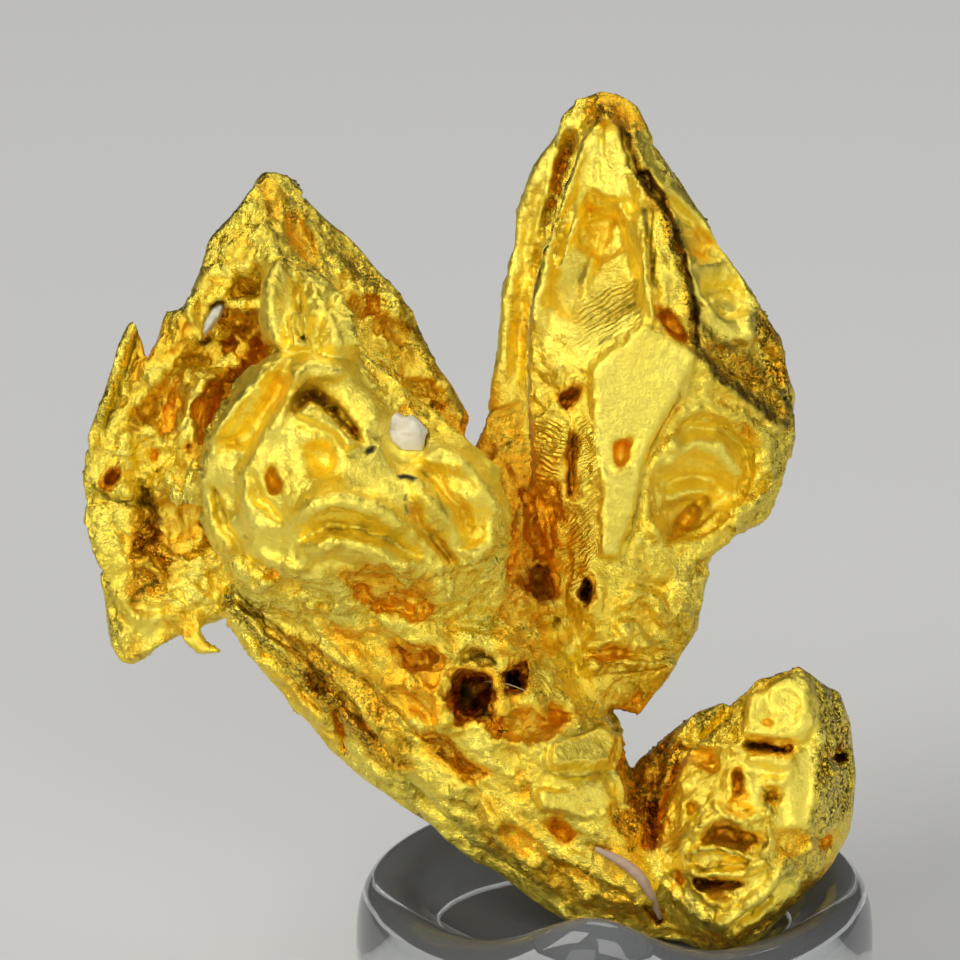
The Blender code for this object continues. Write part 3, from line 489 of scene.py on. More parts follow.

# Marks of the skin. Beside its real texture, many paint light into the colour: painted shade and the
# redness of light passed between walls in the cavities, pits, folds and steps; painted dark reflections on
# the apex, rim, spike and left edge; painted lines of shade in the creases; and a paler tone on the calm
# flats, as if lit more.
HOPPER_SKIN = {
    "apex_foil": ("foil", 1.0, [(265, 174), (226, 214), (209, 244), (212, 264), (244, 264), (266, 234)]),
    "rim_foil": ("foil", 1.0, [(298, 190), (346, 246), (402, 292), (474, 418), (460, 436), (420, 350),
        (350, 286), (312, 262)]),
    "apex_seam_1": ("seam", 2, 0.8, [(214, 210), (226, 206), (242, 210)]),
    "apex_seam_2": ("seam", 3, 0.8, [(284, 184), (288, 192), (296, 206)]),
    "apex_seam_3": ("seam", 2, 0.7, [(268, 222), (276, 240), (282, 256)]),
    "apex_seam_4": ("seam", 2.5, 0.8, [(302, 214), (316, 236), (326, 260), (330, 274)]),
    "rim_seam_1": ("seam", 3, 0.8, [(334, 250), (352, 268), (372, 282), (392, 296)]),
    "rim_seam_2": ("seam", 2.5, 0.8, [(398, 298), (414, 326), (430, 352), (446, 384), (462, 420)]),
    "spike_seam": ("seam", 2, 0.8, [(134, 332), (126, 366), (118, 396), (102, 430)]),
    "left_seam": ("seam", 2.5, 0.7, [(92, 486), (112, 500), (132, 508)]),
    "apex_shade": ("stain", 0.47, [(258, 176), (276, 177), (283, 200), (280, 228), (268, 218)]),
    "valley_shade": ("stain", 0.43, [(280, 196), (300, 214), (330, 276), (306, 268), (284, 236)]),
    "wall_shade_1": ("stain", 0.39, [(340, 292), (376, 296), (382, 310), (356, 322), (344, 306)]),
    "wall_shade_2": ("stain", 0.55, [(370, 314), (386, 311), (404, 342), (382, 340)]),
    "wall_shade_3": ("stain", 0.35, [(386, 340), (412, 342), (438, 364), (404, 360)]),
    "wall_shade_4": ("stain", 0.43, [(414, 376), (438, 372), (452, 404), (452, 420), (404, 408)]),
    "cavity_shade": ("stain", 0.55, [(220, 305), (256, 304), (272, 342), (262, 362), (222, 354)]),
    "step_shade": ("stain", 0.27, [(232, 268), (256, 270), (262, 298), (206, 300), (206, 288)]),
    "strip_shade": ("stain", 0.75, [(172, 378), (189, 374), (183, 410), (171, 444), (160, 438),
        (161, 414)]),
    "side_shade": ("stain", 0.7, [(216, 378), (224, 374), (222, 404), (213, 428), (212, 404)]),
    "knob_shade": ("stain", 0.39, [(160, 322), (178, 316), (190, 328), (178, 352), (158, 360), (150, 345)]),
    "pit_shade": ("stain", 0.9, [(118, 459), (120, 476), (112, 492), (101, 491), (101, 478)]),
    "diamond_shade": ("stain", 0.6, [(150, 441), (160, 452), (155, 466), (143, 460)]),
    "right_shade": ("stain", 0.4, [(184, 444), (204, 440), (206, 468), (176, 470)]),
    "panel_shade": ("stain", 0.55, [(156, 498), (182, 500), (200, 516), (200, 544), (172, 546),
        (158, 524)]),
    "brown_shade": ("stain", 0.95, [(130, 512), (158, 512), (166, 544), (166, 600), (130, 604),
        (128, 560)]),
    "brown_dusk": ("dusk", 0.7, [(134, 514), (158, 514), (162, 544), (172, 556), (164, 600), (130, 604),
        (132, 556)]),
    "brown_seam_1": ("seam", 3, 0.9, [(140, 590), (146, 585), (153, 584)]),
    "brown_seam_2": ("seam", 2.5, 0.8, [(128, 602), (138, 600)]),
    "strip_seam": ("seam", 1.8, 0.5, [(187, 384), (182, 410), (174, 440)]),
    "ledge_seam": ("seam", 2.5, 0.7, [(94, 494), (110, 499), (130, 501), (150, 502)]),
    "gap_shade": ("stain", 0.7, [(136, 346), (152, 340), (160, 350), (146, 372), (134, 400), (130, 384)]),
    "low_shade": ("stain", 0.5, [(166, 604), (196, 620), (190, 636), (160, 646), (156, 630)]),
    "olive_calm": ("calm", 0.9, [(136, 612), (150, 604), (163, 606), (165, 620), (152, 640), (142, 652)]),
    "apex_dusk": ("dusk", 0.8, [(280, 205), (296, 196), (330, 232), (344, 262), (332, 276), (300, 240)]),
    "apex_dusk_left": ("dusk", 0.6, [(212, 204), (242, 198), (262, 206), (240, 222), (214, 226)]),
    "rim_dusk": ("dusk", 0.8, [(322, 214), (350, 248), (402, 290), (446, 376), (474, 426), (462, 430),
        (430, 372), (396, 312), (346, 272)]),
    "left_dusk": ("dusk", 0.6, [(80, 466), (92, 470), (98, 540), (116, 610), (122, 656), (108, 640),
        (92, 560)]),
    "spike_dusk": ("dusk", 0.6, [(129, 318), (134, 340), (120, 384), (106, 430), (94, 428), (110, 378)]),
    "inner_shards": ("shards", 1.0, [(214, 262), (262, 264), (262, 345), (240, 396), (212, 440), (206, 500),
        (214, 560), (224, 606), (140, 606), (128, 560), (110, 500), (112, 440), (134, 400), (150, 352),
        (186, 316)]),
    "wall_shards": ("shards", 1.0, [(330, 268), (380, 284), (420, 330), (460, 400), (470, 436), (420, 436),
        (390, 400), (356, 350), (332, 300)]),
    "left_foil": ("foil", 0.9, [(80, 470), (100, 478), (132, 506), (122, 560), (128, 606), (114, 642),
        (95, 570), (80, 520)]),
    "spike_foil": ("foil", 0.9, [(131, 317), (140, 336), (128, 400), (104, 436), (86, 442), (108, 396)]),
    "plate_calm": ("calm", 0.6, [(187, 384), (212, 380), (208, 437), (173, 440)]),
    "panel_calm": ("calm", 0.5, [(160, 502), (200, 507), (200, 532), (168, 536)]),
    "plate_lines": ("ribs", 6, 0.6, 70, [(187, 386), (211, 382), (207, 436), (175, 438)]),
}

skin.work(HOPPER_FORMS)

# ======================================================================================================
# The front crystal
# A rounded, smooth-skinned crystal, nearest the viewer. Its face has an arched hollow, looped and stepped
# ridges, and two pointed blades on its top.

FRONT_FORMS = {
    "blade_fill": ("plate", 36, 3, [(292, 314), (314, 314), (314, 354), (292, 354)]),
    "blades": ("plate", 18, 12, [(270, 256), (300, 262), (332, 286), (352, 318), (360, 350), (356, 384),
        (300, 392), (262, 376), (256, 330), (262, 284)]),
    "left_trim": ("pit", 46, 3, [(266, 362), (244, 384), (226, 410), (212, 440), (196, 446), (192, 400),
        (228, 362)]),
    "left_blade": ("ridge", 15, 14, [(276, 262), (272, 292), (274, 322), (284, 352)]),
    "right_blade": ("ridge", 15, 14, [(292, 264), (312, 288), (330, 318), (342, 352)]),
    "blade_parting": ("groove", 5, 16, [(288, 262), (296, 284), (302, 302), (300, 322), (308, 348)]),
    "blade_line": ("groove", 4, 10, [(300, 276), (310, 294), (320, 310)]),
    "blade_line_2": ("groove", 4, 7, [(318, 284), (332, 304), (340, 326)]),
    "blade_edge": ("fold", 5, 8, [(312, 270), (336, 290), (350, 322), (357, 348)]),
    "outer_loop": ("ridge", 17, 18, [(286, 364), (256, 392), (232, 424), (212, 456), (208, 490), (218, 528),
        (244, 556)]),
    "loop_groove": ("groove", 13, 20, [(294, 362), (278, 400), (256, 432), (222, 448)]),
    "left_shoulder": ("plate", 15, 6, [(263, 366), (244, 384), (226, 410), (213, 438), (224, 442),
        (242, 412), (262, 390), (277, 374)]),
    "inner_loop": ("ridge", 15, 15, [(302, 372), (291, 410), (268, 440), (250, 470), (252, 510),
        (268, 545)]),
    "inner_groove": ("groove", 12, 12, [(262, 438), (240, 462), (236, 500), (250, 545)]),
    "left_pit": ("pit", 16, 2, [(269, 470), (275, 464), (278, 476), (287, 484), (285, 492), (270, 492)]),
    "edge_slit": ("groove", 7, 16, [(215, 486), (220, 505), (227, 524)]),
    "brow": ("ridge", 20, 20, [(288, 386), (310, 370), (340, 380), (366, 404), (380, 436)]),
    "arch_fill": ("plate", 34, 3, [(298, 418), (314, 404), (332, 412), (346, 428), (360, 446), (350, 452),
        (330, 432), (312, 424)]),
    "arch": ("groove", 7, 38, [(298, 411), (303, 400), (311, 392), (322, 400), (336, 412), (350, 428),
        (363, 440)]),
    "nose": ("plate", 10, 16, [(308, 414), (326, 408), (346, 430), (352, 454), (336, 446), (312, 440),
        (300, 430)]),
    "bowl": ("pit", 8, 18, [(296, 444), (326, 440), (350, 462), (346, 484), (316, 488), (296, 474)]),
    "step_1": ("ridge", 14, 22, [(298, 522), (314, 506), (334, 499), (358, 502), (384, 513), (406, 532)]),
    "step_groove_1": ("groove", 10, 19, [(300, 537), (330, 526), (360, 528), (400, 545), (422, 558)]),
    "step_2": ("ridge", 13, 19, [(314, 548), (334, 540), (362, 544), (392, 555), (412, 568)]),
    "step_groove_2": ("groove", 10, 11, [(308, 568), (340, 561), (380, 567), (406, 578)]),
    "lobe_rim": ("ridge", 14, 22, [(424, 452), (452, 456), (474, 478), (494, 508), (494, 534), (474, 552),
        (450, 552)]),
    "lobe_groove": ("groove", 10, 20, [(420, 468), (444, 484), (464, 512), (470, 534)]),
    "lobe_fold": ("ridge", 10, 12, [(408, 476), (426, 494), (446, 520), (458, 544)]),
    "lobe_slit": ("groove", 9, 22, [(412, 504), (424, 526), (438, 544), (454, 562)]),
    "shell_1": ("ridge", 12, 16, [(236, 508), (246, 536), (270, 558), (304, 572)]),
    "shell_groove": ("groove", 9, 18, [(228, 526), (244, 552), (274, 574), (316, 590)]),
    "shell_2": ("ridge", 11, 15, [(222, 544), (240, 570), (278, 594), (326, 610)]),
    "low_bulge": ("ridge", 20, 8, [(300, 604), (330, 612), (370, 622)]),
    "low_groove": ("groove", 12, 10, [(228, 584), (262, 610), (304, 632)]),
    "step_crack_1": ("groove", 3, 7, [(330, 536), (328, 548)]),
    "step_crack_2": ("groove", 3, 7, [(346, 534), (346, 550)]),
    "cheek_groove": ("groove", 8, 14, [(252, 470), (262, 500), (288, 522)]),
    "grain_seat": ("pit", 12, 3, [(382, 436), (424, 436), (429, 452), (418, 466), (400, 471), (386, 464)]),
    "orange_hollow": ("pit", 14, 6, [(340, 573), (372, 562), (424, 574), (442, 598), (424, 620), (380, 612),
        (352, 594)]),
    "rim_slit": ("groove", 6, 16, [(506, 534), (510, 555), (512, 570)]),
}

# Marks of the skin. Beside its real texture and dark grit, some paint light into the colour: painted shade
# and the redness of light passed between walls in the arch, loops, pits and slits; painted lines of shade
# in the creases; and a paler tone on the calm body, as if lit more.
FRONT_SKIN = {
    "body_calm": ("calm", 0.62, [(262, 262), (240, 385), (212, 440), (204, 480), (214, 540), (262, 560),
        (320, 572), (380, 556), (440, 560), (480, 556), (500, 520), (498, 466), (470, 440), (420, 440),
        (376, 400), (356, 352), (330, 284)]),
    "low_shards": ("shards", 0.8, [(228, 560), (300, 572), (400, 556), (500, 556), (514, 610), (460, 640),
        (380, 640), (300, 640), (250, 610)]),
    "low_foil": ("foil", 0.5, [(214, 530), (270, 560), (330, 590), (360, 640), (300, 650), (240, 600)]),
    "speck_1": ("grit", 1.0, [(364, 453), (367, 447), (372, 444), (378, 447), (374, 453), (369, 456)]),
    "speck_2": ("grit", 1.0, [(399, 474), (405, 472), (412, 475), (419, 480), (413, 484), (408, 481),
        (403, 480)]),
    "speck_3": ("grit", 0.8, [(405, 495), (409, 494), (410, 500), (405, 502)]),
    "speck_4": ("grit", 0.7, [(405, 506), (408, 505), (409, 513), (406, 515)]),
    "blade_seam": ("seam", 2, 0.7, [(292, 272), (298, 286), (303, 302), (300, 322), (306, 346)]),
    "blade_seam_2": ("seam", 1.8, 0.5, [(300, 278), (310, 294), (320, 310)]),
    "arch_seam": ("seam", 3, 0.7, [(304, 402), (312, 394), (330, 408), (348, 428), (360, 438)]),
    "slit_seam": ("seam", 2.5, 0.7, [(428, 532), (438, 546), (450, 562)]),
    "edge_seam": ("seam", 2.5, 0.6, [(217, 488), (222, 505), (228, 522)]),
    "fold_seam": ("seam", 2, 0.5, [(424, 470), (436, 490), (446, 516)]),
    "step_seam": ("seam", 2, 0.5, [(330, 528), (358, 529), (384, 537), (404, 548)]),
    "shell_shade": ("stain", 0.3, [(224, 526), (240, 548), (276, 570), (318, 586), (314, 594), (270, 580),
        (236, 558)]),
    "arch_shade": ("stain", 0.9, [(297, 410), (303, 398), (312, 390), (324, 399), (352, 426), (366, 440),
        (360, 443), (334, 416), (318, 404), (304, 408)]),
    "loop_shade": ("stain", 0.3, [(292, 362), (284, 398), (258, 436), (222, 452), (256, 414), (278, 380)]),
    "pit_shade": ("stain", 0.6, [(268, 468), (276, 463), (279, 475), (289, 484), (286, 494), (268, 494)]),
    "bowl_shade": ("stain", 0.2, [(300, 440), (326, 436), (346, 458), (340, 480), (310, 480)]),
    "slit_shade": ("stain", 0.7, [(410, 504), (418, 502), (458, 562), (446, 564)]),
    "lobe_shade": ("stain", 0.35, [(426, 466), (456, 486), (484, 520), (476, 540), (452, 520)]),
    "orange_shade": ("stain", 0.7, [(336, 572), (372, 560), (428, 572), (444, 598), (426, 622),
        (378, 614)]),
}

skin.work(FRONT_FORMS)

# ======================================================================================================
# The tall crystal, right of the middle
# It has a hooded hollow above, a flat matt facet in its middle, and a scooped lobe of nested curved steps
# at its right. Its skin is drawn out in fine lines on the left, and narrows to a waist below.

TALL_FORMS = {
    "rear_gap": ("groove", 10, 44, [(572, 132), (564, 160), (555, 192), (546, 232), (534, 276)]),
    "cap_fold": ("fold", 6, 7, [(600, 98), (606, 112), (608, 130)]),
    "cap_dent": ("pit", 7, 6, [(584, 104), (594, 98), (598, 116), (590, 124)]),
    "long_groove": ("groove", 8, 34, [(622, 120), (632, 150), (642, 172), (656, 194), (672, 222),
        (682, 255), (694, 300), (698, 346)]),
    "groove_mouth": ("pit", 18, 4, [(642, 168), (650, 166), (664, 194), (676, 222), (664, 214),
        (648, 190)]),
    "hood_rim": ("ridge", 8, 13, [(590, 182), (570, 212), (552, 246), (540, 290), (534, 335)]),
    "spear": ("level", 6, -0.12, [(590, 118), (620, 120), (636, 170), (640, 200), (610, 200), (584, 190),
        (574, 180)]),
    "spear_line": ("groove", 4, 7, [(604, 122), (600, 150), (598, 180)]),
    "hood_floor": ("fill", 0.7, 6, [(578, 200), (632, 202), (638, 264), (580, 262)]),
    "hood": ("scoop", 14, 6, [(601, 216), (616, 212), (630, 236), (640, 280), (642, 322), (590, 364),
        (544, 350), (546, 300), (560, 252), (582, 220)]),
    "hood_top": ("pit", 9, 3, [(584, 210), (592, 202), (606, 205), (624, 209), (627, 222), (615, 222),
        (608, 244), (600, 276), (592, 248)]),
    "hood_hole": ("pit", 20, 3, [(583, 205), (591, 200), (597, 208), (590, 214)]),
    "hood_fold_1": ("fold", 6, 7, [(600, 224), (592, 262), (584, 296)]),
    "right_rim": ("ridge", 8, 14, [(618, 190), (634, 222), (644, 262), (650, 296), (654, 328)]),
    "rim_groove": ("groove", 6, 20, [(643, 204), (648, 225), (652, 250), (655, 285), (660, 318)]),
    "side_blade": ("ridge", 11, 18, [(648, 186), (664, 214), (680, 246), (688, 286), (692, 322)]),
    "blade_pit": ("pit", 26, 5, [(657, 306), (672, 308), (684, 326), (692, 348), (676, 342), (662, 328)]),
    "wing_streak_1": ("ridge", 7, 8, [(662, 180), (690, 206), (714, 234)]),
    "wing_furrow": ("groove", 7, 10, [(660, 194), (684, 214), (708, 240)]),
    "wing_streak_2": ("ridge", 7, 8, [(668, 208), (690, 228), (706, 244)]),
    "wing_patch": ("pit", 12, 5, [(680, 230), (702, 227), (718, 240), (706, 257), (684, 254)]),
    "wing_step": ("plate", 8, 6, [(690, 259), (724, 256), (740, 272), (730, 285), (700, 279)]),
    "wing_cut": ("groove", 5, 7, [(708, 292), (726, 287), (742, 285)]),
    "wing_flat": ("level", 5, 0.3, [(690, 262), (724, 258), (738, 276), (732, 288), (704, 286)]),
    "wing_facet": ("plate", 9, 8, [(700, 296), (735, 292), (758, 318), (752, 350), (728, 336), (706, 318)]),
    "wing_swell": ("plate", 9, 8, [(766, 356), (786, 360), (798, 388), (778, 402), (764, 384)]),
    "wing_ridge": ("ridge", 8, 12, [(746, 304), (750, 330), (747, 358)]),
    "shoulder_band": ("groove", 22, 12, [(697, 332), (714, 354), (738, 374), (762, 392)]),
    "shoulder_lip": ("fold", 8, 9, [(700, 362), (726, 388), (756, 406), (790, 436)]),
    "facet": ("plate", 4, 3, [(645, 325), (588, 368), (592, 405), (600, 470), (598, 505), (602, 558),
        (622, 558), (640, 500), (645, 460), (682, 395), (698, 352), (670, 335)]),
    "facet_flat": ("level", 3, 0.0, [(645, 327), (590, 369), (594, 405), (603, 470), (640, 470), (680, 394),
        (696, 353), (670, 337)]),
    "facet_foot": ("level", 3, 0.1, [(603, 470), (600, 505), (604, 556), (621, 556), (638, 500),
        (641, 470)]),
    "facet_edge": ("groove", 8, 12, [(684, 394), (662, 430), (646, 464), (640, 500), (634, 530),
        (622, 558)]),
    "facet_pit": ("pit", 26, 2, [(614, 444), (634, 436), (626, 458), (620, 470), (613, 460)]),
    "lobe_outer": ("groove", 14, 15, [(652, 456), (668, 436), (690, 426), (720, 426), (744, 444),
        (752, 474), (746, 500)]),
    "lobe_bulge": ("ridge", 17, 20, [(662, 472), (670, 450), (692, 442), (716, 446), (732, 462),
        (738, 484)]),
    "lobe_inner": ("groove", 10, 16, [(655, 487), (672, 480), (695, 475), (716, 480), (728, 492),
        (724, 506)]),
    "lobe_fold": ("fold", 10, 18, [(662, 500), (685, 490), (706, 489), (718, 498)]),
    "lobe_slit": ("groove", 8, 24, [(708, 498), (696, 510), (686, 526), (670, 541)]),
    "lobe_bead": ("plate", 10, 10, [(645, 520), (660, 515), (670, 526), (660, 542), (645, 539)]),
    "lobe_rim": ("ridge", 14, 13, [(700, 412), (740, 416), (768, 440), (770, 474), (752, 504), (720, 530)]),
    "rim_pit_1": ("pit", 16, 4, [(741, 423), (751, 425), (759, 440), (750, 441)]),
    "rim_pit_2": ("pit", 14, 4, [(770, 468), (776, 480), (757, 503), (751, 493)]),
    "side_hole": ("pit", 30, 4, [(556, 396), (572, 388), (584, 388), (576, 404), (566, 413)]),
    "side_slit": ("groove", 5, 30, [(574, 432), (572, 460), (569, 498)]),
    "tongue_flat": ("level", 4, -0.15, [(532, 418), (558, 414), (569, 426), (564, 462), (547, 502),
        (537, 476)]),
    "tongue": ("plate", 6, 3, [(530, 416), (556, 412), (571, 424), (566, 462), (546, 506), (536, 476)]),
    "oval_hole": ("pit", 60, 3, [(583, 578), (589, 577), (594, 588), (590, 604), (584, 601), (581, 590)]),
    "oval_rim": ("ridge", 8, 7, [(578, 572), (588, 567), (599, 580), (599, 600), (588, 612), (576, 602),
        (574, 584)]),
    "waist_arc_1": ("ridge", 9, 13, [(616, 608), (636, 592), (656, 598), (666, 620)]),
    "waist_furrow": ("groove", 8, 10, [(618, 598), (640, 583), (664, 590)]),
    "waist_bead": ("plate", 13, 6, [(616, 620), (640, 617), (645, 637), (620, 640)]),
    "waist_ledge_1": ("ridge", 7, 13, [(586, 645), (620, 641), (668, 648)]),
    "waist_slot": ("groove", 8, 16, [(584, 656), (612, 651), (642, 654)]),
    "waist_ledge_2": ("ridge", 7, 12, [(580, 666), (620, 662), (676, 666)]),
    "waist_cleft": ("groove", 6, 14, [(573, 664), (580, 645), (594, 630)]),
    "lower_hole_1": ("pit", 30, 3, [(630, 695), (639, 695), (639, 704), (630, 704)]),
    "lower_hole_2": ("pit", 26, 4, [(600, 713), (613, 707), (622, 715), (607, 723)]),
    "lower_rim": ("ridge", 12, 8, [(560, 694), (580, 714), (606, 726), (630, 730)]),
    "blade_edge": ("ridge", 12, 8, [(552, 128), (528, 180), (516, 230), (508, 300), (506, 356),
        (490, 402)]),
    "blade_furrow": ("groove", 10, 9, [(546, 170), (530, 220), (524, 270), (520, 330), (516, 390)]),
}

# Marks of the skin. Beside its real texture, many paint light into the colour: painted shade and the
# redness of light passed between walls in the cap, hood, groove, holes, slits and slots; painted dark
# reflections on the groove, wing, band, gap and right side; painted lines of shade in the creases; and a
# paler tone on the calm facet, hood, lobe and wing, as if lit more.
TALL_SKIN = {
    "spear_calm": ("calm", 0.6, [(590, 118), (624, 120), (640, 180), (652, 240), (656, 320), (640, 326),
        (584, 366), (536, 350), (534, 300), (552, 240), (574, 180)]),
    "facet_calm": ("calm", 0.95, [(645, 325), (588, 368), (592, 405), (600, 470), (598, 505), (602, 558),
        (622, 558), (640, 500), (645, 460), (682, 395), (698, 352), (670, 335)]),
    "hood_calm": ("calm", 0.8, [(560, 240), (580, 210), (620, 215), (636, 260), (600, 300), (556, 324)]),
    "rear_calm": ("calm", 0.8, [(590, 100), (545, 135), (510, 215), (496, 330), (484, 410), (528, 410),
        (530, 300), (556, 190)]),
    "lobe_calm": ("calm", 0.9, [(655, 460), (690, 424), (735, 430), (750, 470), (725, 510), (660, 545)]),
    "wing_top_calm": ("calm", 0.85, [(638, 116), (656, 138), (664, 172), (716, 228), (702, 242), (670, 206),
        (648, 168)]),
    "wing_calm": ("calm", 0.85, [(660, 180), (715, 226), (760, 305), (755, 350), (700, 320), (684, 250)]),
    "cap_dusk": ("dusk", 0.6, [(576, 112), (590, 92), (604, 104), (602, 122), (584, 124)]),
    "cap_shade": ("stain", 0.95, [(578, 118), (590, 88), (620, 92), (650, 116), (648, 126), (612, 132)]),
    "hood_shade": ("stain", 0.4, [(582, 208), (592, 200), (626, 207), (630, 222), (616, 224), (607, 246),
        (600, 276), (590, 248)]),
    "hood_dark": ("stain", 1.0, [(583, 200), (594, 198), (600, 211), (588, 214)]),
    "blade_shade": ("stain", 0.8, [(655, 304), (674, 306), (694, 350), (676, 344), (660, 328)]),
    "groove_shade": ("stain", 0.9, [(619, 118), (628, 118), (640, 158), (666, 190), (686, 240), (702, 340),
        (694, 346), (676, 250), (648, 196), (634, 168)]),
    "wing_shade": ("stain", 0.55, [(680, 228), (704, 226), (720, 240), (708, 258), (684, 256)]),
    "wing_dark": ("stain", 0.85, [(760, 304), (782, 332), (792, 364), (790, 392), (768, 368), (761, 336)]),
    "band_shade": ("stain", 0.6, [(692, 330), (722, 340), (764, 368), (802, 424), (792, 434), (752, 400),
        (714, 376), (694, 356)]),
    "pit_shade": ("stain", 1.0, [(612, 442), (636, 434), (628, 460), (621, 472), (611, 462)]),
    "edge_shade": ("stain", 0.4, [(684, 392), (690, 398), (650, 466), (642, 462), (660, 426)]),
    "slit_shade": ("stain", 0.6, [(700, 496), (714, 496), (692, 530), (668, 545), (678, 520)]),
    "lobe_shade": ("stain", 0.15, [(655, 484), (695, 472), (730, 484), (726, 508), (712, 484), (660, 494)]),
    "rim_shade": ("stain", 0.55, [(740, 420), (752, 422), (761, 442), (748, 443)]),
    "hole_shade": ("stain", 1.0, [(554, 396), (572, 384), (588, 386), (577, 408), (566, 415)]),
    "cut_shade": ("stain", 1.0, [(570, 428), (577, 428), (575, 500), (565, 500)]),
    "oval_shade": ("stain", 1.0, [(581, 575), (591, 574), (596, 590), (590, 606), (580, 600)]),
    "blade_foot_shade": ("stain", 0.9, [(488, 402), (524, 398), (526, 440), (500, 444), (486, 416)]),
    "rear_shade": ("stain", 0.4, [(524, 262), (534, 262), (530, 400), (514, 400), (518, 320)]),
    "gap_shade": ("stain", 1.0, [(580, 118), (586, 122), (556, 206), (548, 206), (556, 160)]),
    "slot_shade": ("stain", 0.5, [(592, 648), (630, 646), (630, 660), (592, 662)]),
    "groove_seam": ("seam", 5, 1.0, [(622, 120), (630, 142), (638, 162), (646, 180), (658, 198), (672, 216),
        (680, 238), (688, 268), (695, 304), (698, 344)]),
    "groove_patch": ("seam", 7, 0.9, [(648, 172), (655, 186), (662, 196)]),
    "rim_seam": ("seam", 2.5, 0.8, [(643, 208), (649, 228), (653, 252), (656, 286)]),
    "band_seam": ("seam", 7, 0.9, [(699, 348), (712, 368), (734, 386), (758, 402), (784, 424)]),
    "band_upper_seam": ("seam", 5, 0.7, [(700, 322), (722, 340), (748, 352), (764, 370), (786, 400),
        (800, 424)]),
    "edge_seam": ("seam", 2, 0.8, [(558, 216), (546, 244), (538, 268), (533, 300)]),
    "facet_seam": ("seam", 2, 0.5, [(680, 394), (662, 428), (646, 462), (640, 500), (626, 556)]),
    "cut_seam": ("seam", 2, 0.9, [(574, 432), (572, 460), (569, 498)]),
    "oval_seam": ("seam", 4, 1.0, [(587, 582), (589, 591), (587, 600)]),
    "hole_seam": ("seam", 3, 0.7, [(562, 400), (572, 398), (577, 392)]),
    "hatch_seam_1": ("seam", 3, 0.7, [(600, 308), (608, 312)]),
    "hatch_seam_2": ("seam", 3, 0.7, [(600, 342), (612, 338)]),
    "hatch_seam_3": ("seam", 2.5, 0.7, [(628, 306), (636, 304)]),
    "groove_dusk": ("dusk", 1.0, [(618, 116), (630, 118), (641, 152), (661, 188), (684, 240), (702, 340),
        (692, 348), (676, 250), (646, 196), (632, 168)]),
    "wing_dusk": ("dusk", 1.0, [(752, 296), (784, 330), (796, 396), (786, 404), (766, 384), (758, 340)]),
    "band_dusk": ("dusk", 0.8, [(692, 326), (722, 336), (764, 366), (806, 424), (800, 446), (756, 404),
        (714, 378), (694, 358)]),
    "right_dusk": ("dusk", 0.5, [(776, 410), (804, 420), (800, 484), (776, 514), (740, 530), (770, 480)]),
    "low_dusk": ("dusk", 0.55, [(676, 566), (710, 556), (702, 620), (684, 660), (676, 620)]),
    "gap_dusk": ("dusk", 0.9, [(572, 124), (584, 130), (558, 200), (546, 236), (540, 230), (552, 176)]),
    "hatch_dusk": ("dusk", 0.35, [(590, 290), (640, 280), (640, 316), (600, 344), (584, 330)]),
    "band_foil": ("foil", 1.0, [(690, 328), (722, 338), (764, 366), (804, 424), (800, 480), (778, 512),
        (776, 452), (752, 402), (714, 378), (692, 358)]),
    "dark_foil": ("foil", 1.0, [(760, 300), (784, 332), (796, 392), (786, 398), (764, 364)]),
    "left_foil": ("foil", 0.7, [(532, 336), (584, 368), (584, 420), (574, 500), (546, 506), (528, 420)]),
    "waist_shards": ("shards", 0.3, [(660, 572), (708, 560), (704, 612), (676, 672), (640, 726), (560, 694),
        (560, 650), (640, 600)]),
    "waist_foil": ("foil", 0.5, [(660, 572), (708, 560), (704, 612), (676, 672), (640, 726), (600, 724),
        (560, 694), (536, 680), (560, 650), (640, 668)]),
    "tongue_lines": ("ribs", 5, 1.0, -18, [(532, 418), (570, 420), (564, 462), (546, 504), (536, 478)]),
    "side_lines": ("ribs", 4.5, 0.9, 38, [(577, 420), (596, 420), (600, 480), (598, 560), (568, 600),
        (562, 540), (574, 500)]),
    "floor_lines": ("ribs", 5, 0.8, 32, [(590, 290), (636, 280), (644, 318), (600, 350), (560, 350)]),
    "waist_lines": ("ribs", 6, 0.7, 4, [(590, 640), (676, 640), (670, 676), (584, 680)]),
}

skin.work(TALL_FORMS)

# ======================================================================================================
# The arm and the foot
# A rough branch runs from the lower left down to the foot, crumpled along its left edge. Deep holes open
# between it and the tall crystal, and smooth facets face the viewer at the foot.

